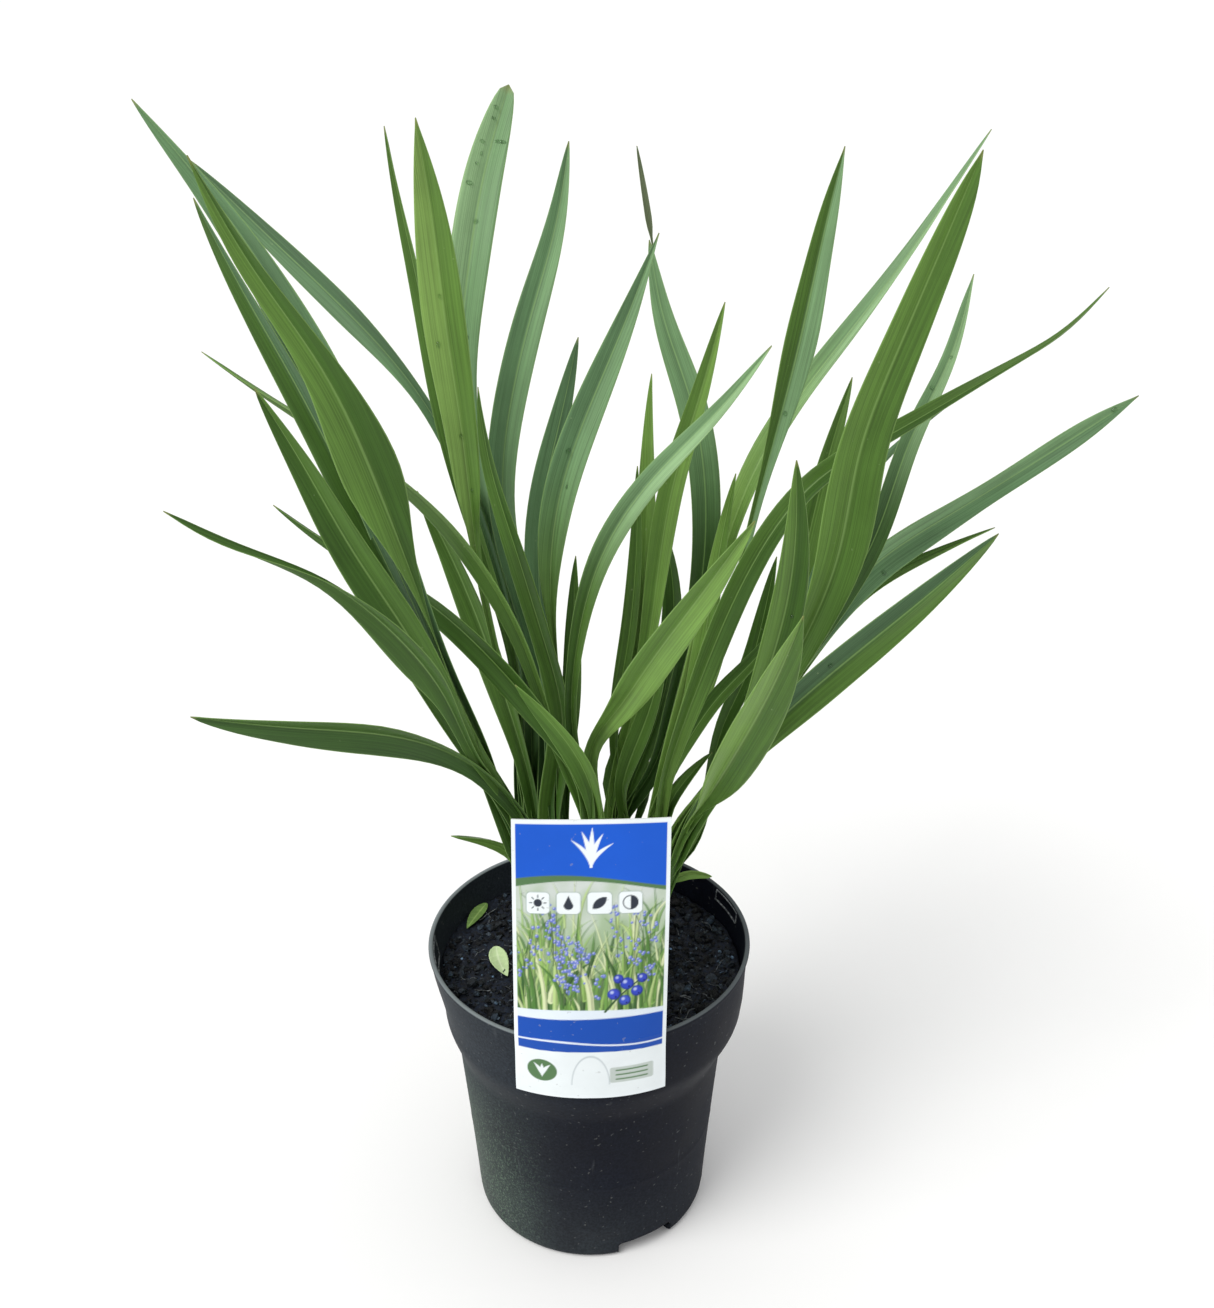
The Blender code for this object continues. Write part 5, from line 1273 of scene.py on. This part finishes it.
def make_shoot(name, shoot, looks, number):
    """One fan of leaves with its wrapped base, as one piece with tones, maps and two materials."""
    bases = [core_mesh(shoot, number)]
    for order, tone in enumerate(SHEATH_TONES):
        seed = number * 20 + order + SHEATH_SEED
        bases.append(blade_mesh(*sheath_leaf(shoot, order), tone, seed, SHEATH_THICK, 1.0))
    blades = [blade_mesh(leaf, leaf_start(shoot, place), LEAF_TONES_WITH_PAINTED_LIGHT[name][leaf.name], number * 20 + place)
              for place, leaf in enumerate(shoot.leaves)]
    if name == WISP_SHOOT:
        blades.append(blade_mesh(WISP, [], "dry dry dry dry", WISP_SEED, WISP_THICK))
    points, faces, tones, leaf_uv, grain_uv = zip(*bases, *blades)
    obj = make_block(name + "_leaves", *joined(zip(points, faces)), looks[0])
    obj.data.materials.append(looks[1])
    base_faces = sum(len(base[1]) for base in bases)
    blade_faces = sum(len(blade[1]) for blade in blades)
    obj.data.polygons.foreach_set("material_index", [1] * base_faces + [0] * blade_faces)
    paint(obj, "tone", np.concatenate(tones))
    map_points(obj, "leaf", np.concatenate(leaf_uv))
    map_points(obj, "grain", np.concatenate(grain_uv))
    finish_piece(obj, "leaf_green", name)


# Card

def card_line(share):
    """Middle of the card at one share of its height: how far out and how high."""
    bend_z = RIM_Z + 1.0
    low_part = (bend_z - CARD_LOW_Z) / (CARD_TOP_Z - CARD_LOW_Z)
    if share <= low_part:
        z = CARD_LOW_Z + (bend_z - CARD_LOW_Z) * share / low_part
        slope = (RIM_R - COLLAR_FOOT_R) / (RIM_Z - COLLAR_FOOT_Z)
        return RIM_R + slope * (z - RIM_Z) + GAP, z
    up = (share - low_part) / (1.0 - low_part)
    return RIM_R + GAP - CARD_LEAN * up ** 1.2, bend_z + (CARD_TOP_Z - bend_z) * up


def card_points(aside, share, out):
    """Points on the card for many places across at one share of its height."""
    reach, z = card_line(share)
    above = max(0.0, (z - RIM_Z) / (CARD_TOP_Z - RIM_Z))
    sweep = aside / (RIM_R + GAP)
    curl = 1.0 - 0.85 * float(smoothstep(above / 0.75))
    x = (RIM_R + GAP) * np.sin(sweep) + CARD_SHIFT * above
    drop = (RIM_R + GAP) * (1.0 - np.cos(sweep)) * curl
    side = np.abs(push(z, np.arctan2(-1.0, aside / RIM_R))) if z < RIM_Z else np.zeros_like(aside)
    facing = np.stack([np.sin(sweep) * curl, -np.cos(sweep * curl)], -1)
    place = np.stack([x, -(reach - drop)], -1) + facing * (out + side)[:, None]
    return np.concatenate([place, np.full((len(aside), 1), z)], 1)


class Print:
    """A picture painted point by point with soft-edged shapes, in millimetres on the card."""

    def __init__(self, x, y):
        """Start a plain sheet with the places of its points."""
        self.x, self.y = x, y
        self.colours = np.tile(screen((240, 246, 248)), (*x.shape, 1))

    def cover(self, distance, colour, soft=0.35, strength=1.0):
        """Paint where a distance is below nothing."""
        share = np.clip(0.5 - distance / soft, 0.0, 1.0)[..., None] * strength
        self.colours += (screen(colour) - self.colours) * share

    def box(self, x, y, wide, high, corner=0.0):
        """Distance to a rounded rectangle given by its middle."""
        dx = np.abs(self.x - x) - wide / 2.0 + corner
        dy = np.abs(self.y - y) - high / 2.0 + corner
        outside = np.hypot(np.maximum(dx, 0.0), np.maximum(dy, 0.0))
        return outside + np.minimum(np.maximum(dx, dy), 0.0) - corner

    def disc(self, x, y, radius):
        """Distance to a disc."""
        return np.hypot(self.x - x, self.y - y) - radius

    def wave(self, height, turn, shift=0.0):
        """A wave over the card's width."""
        return height * np.sin(self.x / CARD_WIDTH * turn + shift)

    def dot(self, x, y, radius, colour, soft):
        """Paint a disc."""
        self.cover(self.disc(x, y, radius), colour, soft)

    def stroke(self, points, widths, colour, soft=0.3, strength=1.0):
        """Paint a line that changes its width."""
        best = np.full(self.x.shape, 1e3)
        for (ax, ay), (bx, by), wa, wb in zip(points[:-1], points[1:], widths[:-1], widths[1:]):
            dx, dy = bx - ax, by - ay
            along = np.clip(((self.x - ax) * dx + (self.y - ay) * dy) / (dx * dx + dy * dy + 1e-9), 0.0, 1.0)
            gap = np.hypot(self.x - ax - along * dx, self.y - ay - along * dy) - (wa + (wb - wa) * along)
            best = np.minimum(best, gap)
        self.cover(best, colour, soft, strength)


def arching(x, y, lean, tall, steps, droop=0.0):
    """A line that rises from a place and leans over to one side."""
    return [(x + lean * t * t, y + tall * t * (1.0 - droop * t)) for t in steps]


def paint_blade(sheet, chance, low, margin, back):
    """One arching leaf of the picture with its shaded side, behind or in front."""
    x = chance.uniform(margin - 6.0, CARD_WIDTH - margin + 6.0)
    y = low + (chance.uniform(10.0, 46.0) if back else chance.uniform(-10.0, 14.0))
    tall = chance.uniform(10.0, 28.0) if back else chance.uniform(20.0, 52.0)
    lean = chance.uniform(-13.0, 13.0)
    steps = np.linspace(0.0, 1.0, 7)
    line = arching(x, y, lean, tall, steps, 0.25 * abs(lean) / 13.0)
    widths = chance.uniform(0.3, 0.7 if back else 1.25) * (1.0 - steps ** 2.2)
    colour = PICTURE_GREENS[chance.integers(len(PICTURE_GREENS))]
    sheet.stroke(line, widths, colour, 0.45, 0.8 if back else 0.95)
    shadow = [(px + 0.55, py) for px, py in line]
    sheet.stroke(shadow, widths * 0.35, tuple(0.72 * part for part in colour), 0.4, 0.7)


def paint_spray(sheet, chance, low, margin):
    """One thin stem of the picture with its small blue berries."""
    x = chance.uniform(margin + 3.0, CARD_WIDTH - margin - 3.0)
    y = low + chance.uniform(6.0, 34.0)
    tall = chance.uniform(12.0, 26.0)
    lean = chance.uniform(-5.0, 5.0)
    sheet.stroke(arching(x, y, lean, tall, np.linspace(0.0, 1.0, 5)), [0.2] * 5, (88, 108, 74), 0.35, 0.9)
    for _ in range(chance.integers(6, 12)):
        t = chance.uniform(0.35, 1.02)
        spot = (x + lean * t * t + chance.uniform(-2.6, 2.6), y + tall * t + chance.uniform(-1.4, 1.4))
        size = chance.uniform(0.4, 0.85)
        sheet.dot(*spot, size, (106, 122, 206), 0.4)
        sheet.dot(spot[0] - 0.2, spot[1] + 0.25, size * 0.4, (204, 210, 242), 0.4)


def paint_meadow(sheet, low, high, margin):
    """The picture panel: a bank of arching leaves with stems of small round berries."""
    panel = sheet.box(CARD_WIDTH / 2.0, (low + high) / 2.0, CARD_WIDTH - 2.0 * margin, high - low)
    keep = sheet.colours.copy()
    rise = (sheet.y - low) / (high - low)
    patch = waves(sheet.x, sheet.y, (9.0, 13.0, 17.0, 24.0), 41)
    for level, colour in PICTURE_LEVELS:
        sheet.cover((rise - level + 0.10 * patch) * 60.0, colour, 20.0, 0.92)
    chance = np.random.default_rng(77)
    for order in range(PICTURE_BLADES):
        paint_blade(sheet, chance, low, margin, order < PICTURE_BACK_BLADES)
    for _ in range(PICTURE_SPRAYS):
        paint_spray(sheet, chance, low, margin)
    outside = np.clip(0.5 + panel / 0.3, 0.0, 1.0)[..., None]
    sheet.colours = sheet.colours + (keep - sheet.colours) * outside


def paint_berries(sheet, x, y):
    """A large sprig of blue berries on arching stalks."""
    chance = np.random.default_rng(12)
    stem = [(x + 15.0 * t - 7.0, y - 9.0 + 20.0 * t - 6.0 * t * t) for t in np.linspace(0.0, 1.0, 8)]
    sheet.stroke(stem, [0.5, 0.48, 0.45, 0.42, 0.38, 0.34, 0.3, 0.26], (62, 92, 54), 0.35)
    for dx, dy, _ in BERRIES:
        near = min(stem, key=lambda p: math.hypot(p[0] - x - dx, p[1] - y - dy))
        sheet.stroke([near, (x + dx, y + dy)], [0.24, 0.24], (62, 92, 54), 0.35)
    for dx, dy, size in BERRIES:
        blue = (54 + int(chance.integers(12)), 74 + int(chance.integers(14)), 196)
        sheet.dot(x + dx, y + dy, size + 0.25, (30, 42, 120), 0.5)
        sheet.dot(x + dx - 0.15, y + dy + 0.15, size - 0.1, blue, 0.9)
        sheet.dot(x + dx - size * 0.35, y + dy + size * 0.38, size * 0.30, (188, 200, 244), 0.7)
        sheet.dot(x + dx + size * 0.3, y + dy - size * 0.55, size * 0.16, (24, 30, 84), 0.4)


def paint_signs(sheet, y, size):
    """Four white squares in a row with plain signs: a sun, a drop, a leaf and a shade."""
    ink = (52, 58, 70)
    places = [10.6 + place * 12.0 for place in range(4)]
    for x in places:
        sheet.cover(sheet.box(x, y, size + 0.5, size + 0.5, 1.9), (150, 168, 160), 0.5)
        sheet.cover(sheet.box(x, y, size, size, 1.7), (240, 247, 249), 0.3)
    sun, drop, leaf, shade = places
    sheet.dot(sun, y, 1.7, ink, 0.3)
    for ray in range(8):
        turn = math.pi * ray / 4.0
        line = [(sun + reach * math.cos(turn), y + reach * math.sin(turn)) for reach in (2.4, 3.3)]
        sheet.stroke(line, [0.22, 0.22], ink)
    sheet.stroke([(drop, y - 1.0), (drop, y + 3.0)], [1.9, 0.1], ink)
    steps = np.linspace(0.0, 1.0, 9)
    line = [(leaf - 2.6 + 5.2 * t, y - 2.4 + 4.8 * t) for t in steps]
    sheet.stroke(line, 1.7 * np.sin(math.pi * steps) + 0.12, ink)
    sheet.cover(np.maximum(sheet.disc(shade, y, 3.0), shade - sheet.x), ink, 0.3)
    sheet.cover(np.abs(sheet.disc(shade, y, 2.9)) - 0.22, ink, 0.3)


def paint_header(sheet, inner, low):
    """The blue head over a green edge, with a plain white fan of leaves."""
    sheet.cover(np.maximum(inner, low - 2.6 + sheet.wave(3.4, 3.4, 0.2) - sheet.y), PRINT_GREEN)
    sheet.cover(np.maximum(inner, low + sheet.wave(3.2, 3.4, 0.5) - sheet.y), (28, 92, 208))
    steps = np.linspace(0.0, 1.0, 9)
    for lean, tall, thick in HEADER_FAN:
        widths = thick * np.sin(math.pi * (0.12 + 0.88 * steps)) + 0.08
        sheet.stroke(arching(CARD_WIDTH / 2.0, low + 6.8, lean, tall, steps), widths, (240, 247, 250))


def paint_foot(sheet, inner, foot_top, band_top):
    """The blue band with its pale crest and line, over the white foot."""
    brim = 0.7 * np.cos(sheet.x / CARD_WIDTH * 6.2)
    band = np.maximum(foot_top - brim - sheet.y, sheet.y - band_top - sheet.wave(1.8, 3.1, -0.4))
    band = np.maximum(inner, band)
    crest = np.maximum(inner, sheet.y - band_top - 3.6 - sheet.wave(2.2, 3.6, -0.2))
    line = np.abs(sheet.y - foot_top - 4.4 - sheet.wave(1.5, 5.0)) - 0.45
    sheet.cover(np.maximum(crest, band_top - 4.0 - sheet.y), (226, 236, 246))
    sheet.cover(band, (24, 78, 176))
    sheet.cover(np.maximum(band, line), (232, 240, 250))
    sheet.cover(np.maximum(inner, sheet.y - foot_top + brim), PRINT_WHITE)


def paint_small_signs(sheet, foot_top):
    """A round leafy badge, a plain box with three bars and the slot's arch on the white foot."""
    x, y = 11.5, foot_top * 0.56
    sheet.cover(sheet.disc(x, y, 6.2), PRINT_GREEN)
    steps = np.linspace(0.0, 1.0, 9)
    for lean in (-3.4, 0.0, 3.4):
        sheet.stroke(arching(x, y - 3.6, lean, 7.2, steps), 0.8 * np.sin(math.pi * steps) + 0.06, PRINT_WHITE)
    x, y = 48.0, foot_top * 0.50
    sheet.cover(sheet.box(x, y, 18.0, 9.0, 1.0), (196, 206, 200))
    for order in range(3):
        sheet.cover(sheet.box(x, y + 2.6 * (order - 1), 13.5, 0.8, 0.4), (92, 128, 88))
    arch = np.hypot((sheet.x - CARD_WIDTH * 0.5) / 7.6, (sheet.y - foot_top * 0.30) / 17.0)
    arch = np.maximum(np.abs(arch - 1.0) * 8.0 - 0.22, foot_top * 0.30 - sheet.y)
    sheet.cover(arch, (184, 194, 198), 0.4, 0.8)


def paint_card(x, y, height):
    """A generic plant card: blue header, leafy picture, blue band and a white foot."""
    sheet = Print(x, y)
    foot_top, band_top, header_low = 0.205 * height, 0.325 * height, 0.80 * height
    paint_meadow(sheet, band_top - 3.0, header_low + 4.0, PRINT_MARGIN)
    wide, high = CARD_WIDTH - 2.0 * PRINT_MARGIN, height - 2.0 * PRINT_MARGIN
    inner = sheet.box(CARD_WIDTH / 2.0, height / 2.0, wide, high)
    paint_header(sheet, inner, header_low)
    paint_foot(sheet, inner, foot_top, band_top)
    paint_berries(sheet, 44.0, band_top + 14.0)
    paint_signs(sheet, header_low - 8.6, 9.2)
    paint_small_signs(sheet, foot_top)
    sheet.cover(-inner, (240, 247, 250))
    return sheet.colours


def make_card():
    """The card with its printed front, plain back and the tongue that hooks over the rim."""
    aside = CARD_WIDTH * (np.linspace(0.0, 1.0, CARD_COLUMNS + 1) - 0.5)
    shares = np.linspace(0.0, 1.0, CARD_ROWS + 1)
    front = np.stack([card_points(aside, share, CARD) for share in shares])
    steps = np.linalg.norm(np.diff(front[:, CARD_COLUMNS // 2], axis=0), axis=1)
    run = np.concatenate([[0.0], np.cumsum(steps)])
    faces = grid_faces(CARD_ROWS + 1, CARD_COLUMNS + 1, False)
    printed = make_mesh("card_front", front.reshape(-1, 3), faces, card_look())
    x, y = np.meshgrid(aside + CARD_WIDTH / 2.0, run)
    paint(printed, "print", paint_card(x, y, run[-1]).reshape(-1, 3))
    spread = CARD_WIDTH * (np.linspace(0.0, 1.0, BACK_COLUMNS + 1) - 0.5)
    around = []
    for share in shares[::BACK_STEP]:
        behind, ahead = (card_points(spread, share, out) for out in (0.0, CARD - BACK_INSET))
        around += [behind, ahead[::-1]]
    plain = plain_card_look()
    faces = sheet_faces(len(around) // 2, BACK_COLUMNS + 1)
    back = make_block("card_back", np.concatenate(around), faces, plain)
    back.data.set_sharp_from_angle(angle=math.radians(CARD_CREASE))
    finish_piece(printed, "card")
    finish_piece(back, "card", "label")
    make_tongue(plain)


def make_tongue(look):
    """The cut tongue that holds the card on the rim."""
    inner = RIM_R - WALL - GAP
    over = RIM_Z + GAP
    low = outer_radius(TONGUE_LOW_Z) - WALL - 2.0 * GAP
    line = [(RIM_R + GAP + CARD * 0.5, over), (inner, over), (low, TONGUE_LOW_Z)]
    back = [(RIM_R + GAP + CARD * 0.5, over + CARD), (inner - CARD, over + CARD), (low - CARD, TONGUE_LOW_Z)]
    points = []
    for share in np.linspace(0.0, 1.0, TONGUE_COLUMNS + 1):
        sweep = TONGUE_WIDTH * (share - 0.5) / RIM_R
        for radius, z in line + back[::-1]:
            points.append((radius * math.sin(sweep), -radius * math.cos(sweep), z))
    faces = sheet_faces(TONGUE_COLUMNS + 1, len(line))
    finish_piece(make_block("card_tongue", points, faces, look, smooth=False), "card")


# Small things

def make_fallen(name, look):
    """A small dropped leaf: oval, cupped, with a light midrib and side veins."""
    route, width, *colours = FALLEN[name]
    share = np.linspace(0.0, 1.0, FALLEN_SECTIONS)
    path = smooth_path([(x, y, 0.0) for x, y in route], share)
    along = np.gradient(path, axis=0)
    along /= np.linalg.norm(along, axis=1)[:, None]
    across = np.cross(along, [0.0, 0.0, 1.0])
    teeth = 1.0 + 0.05 * np.abs(np.sin(share * 34.0))
    half = np.maximum(width / 2.0 * np.sin(math.pi * share ** 0.8) ** 0.8, FINE_TIP_HALF) * teeth
    half = half[:, None]
    side = np.linspace(-1.0, 1.0, FALLEN_COLUMNS)
    x, y = (path[:, None, k] + across[:, None, k] * half * side for k in range(2))
    vein = np.abs(np.sin(share[:, None] * 22.0 - np.abs(side) * 2.2))
    cup = 0.95 * side ** 2 * half / (width / 2.0) - 0.12 * (1.0 - vein) * np.abs(side)
    top = np.stack([x, y, soil_height(x, y) + FALLEN_LIFT + cup], -1)
    under = top - (0.0, 0.0, FALLEN_THICK)
    rows = np.concatenate([top, under[:, ::-1]], 1)
    base, light = (screen(colour) for colour in colours)
    middle = np.exp(-(side / 0.10) ** 2) + 0.5 * np.exp(-(vein / 0.16) ** 2) * (np.abs(side) < 0.92)
    tone = base + (light - base) * np.clip(middle, 0.0, 1.0)[..., None]
    tone = np.concatenate([tone, tone[:, ::-1]], 1)
    faces = sheet_faces(FALLEN_SECTIONS, FALLEN_COLUMNS)
    obj = make_block(name + "_blade", rows.reshape(-1, 3), faces, look)
    paint(obj, "tone", tone.reshape(-1, 3))
    finish_piece(obj, "fallen_green", name)


# Surroundings

def make_floor():
    """A wide pale floor."""
    look = Look("floor_surface", 0.9, 0.2)
    place = look.object_place()
    look.body = look.mix(look.vary(look.noise(place, 2.5, 2.0), 0.0, 1.0), (249, 249, 249), (251, 251, 251))
    corners = [(x * FLOOR_HALF, y * FLOOR_HALF, 0.0) for x, y in ((-1, -1), (1, -1), (1, 1), (-1, 1))]
    floor = make_mesh("floor", corners, [(0, 1, 2, 3)], look.finished(), smooth=False)
    floor.location.z = FLOOR_Z


def area_light(name, place, target, size, power, colour):
    """A soft square light that looks at a point."""
    data = bpy.data.lights.new(name, "AREA")
    data.shape = "SQUARE"
    data.size = size
    data.energy = power
    data.color = colour
    light = add_object(name, data)
    light.location = place
    light.rotation_euler = (Vector(target) - Vector(place)).to_track_quat("-Z", "Y").to_euler()


def make_light():
    """Bright surroundings and one broad soft light from the upper left."""
    world = bpy.data.worlds.new("studio")
    bpy.context.scene.world = world
    world.use_nodes = True
    backdrop = world.node_tree.nodes["Background"]
    backdrop.inputs["Color"].default_value = (1.0, 1.0, 1.0, 1.0)
    backdrop.inputs["Strength"].default_value = 0.74
    sun = bpy.data.lights.new("broad_light", "SUN")
    sun.energy = 1.5
    sun.angle = math.radians(32.0)
    sun.color = (1.0, 0.995, 0.97)
    light = add_object("broad_light", sun)
    light.rotation_euler = Vector((0.55, 0.50, -1.0)).to_track_quat("-Z", "Y").to_euler()
    area_light("side_sheen", (-1.3, -0.5, 0.35), (0.0, 0.0, 0.1), 0.6, 3.0, (1.0, 1.0, 1.0))
    scene = bpy.context.scene
    scene.view_settings.view_transform = "Standard"
    scene.view_settings.look = "None"
    scene.view_settings.exposure = 0.0
    scene.view_settings.gamma = 1.0


def make_camera():
    """The photograph's view: from the front, looking down."""
    yaw, pitch, roll = (math.radians(turn) for turn in CAMERA_TURNS)
    forward = Vector((math.sin(yaw) * math.cos(pitch), math.cos(yaw) * math.cos(pitch), -math.sin(pitch)))
    right = forward.cross(Vector((0.0, 0.0, 1.0))).normalized()
    upward = right.cross(forward)
    turned_right = right * math.cos(roll) + upward * math.sin(roll)
    turned_up = upward * math.cos(roll) - right * math.sin(roll)
    data = bpy.data.cameras.new("camera")
    data.sensor_fit = "AUTO"
    data.sensor_width = SENSOR
    data.lens = FOCAL_SHARE * SENSOR
    data.clip_start = 0.01
    data.clip_end = 100.0
    camera = add_object("camera", data)
    axes = Matrix((turned_right, turned_up, -forward)).transposed()
    camera.matrix_world = Matrix.Translation(CAMERA_PLACE) @ axes.to_4x4()
    bpy.context.scene.camera = camera


def main():
    """Dress the frame and set up the studio."""
    make_pot()
    make_wall_marks()
    make_soil()
    make_bark()
    make_fibres()
    looks = [leaf_look(), sheath_look()]
    for number, (name, shoot) in enumerate(SHOOTS.items()):
        make_shoot(name, shoot, looks, number + 1)
    make_drops()
    make_card()
    fallen = fallen_look()
    for name in FALLEN:
        make_fallen(name, fallen)
    make_floor()
    make_light()
    make_camera()


main()
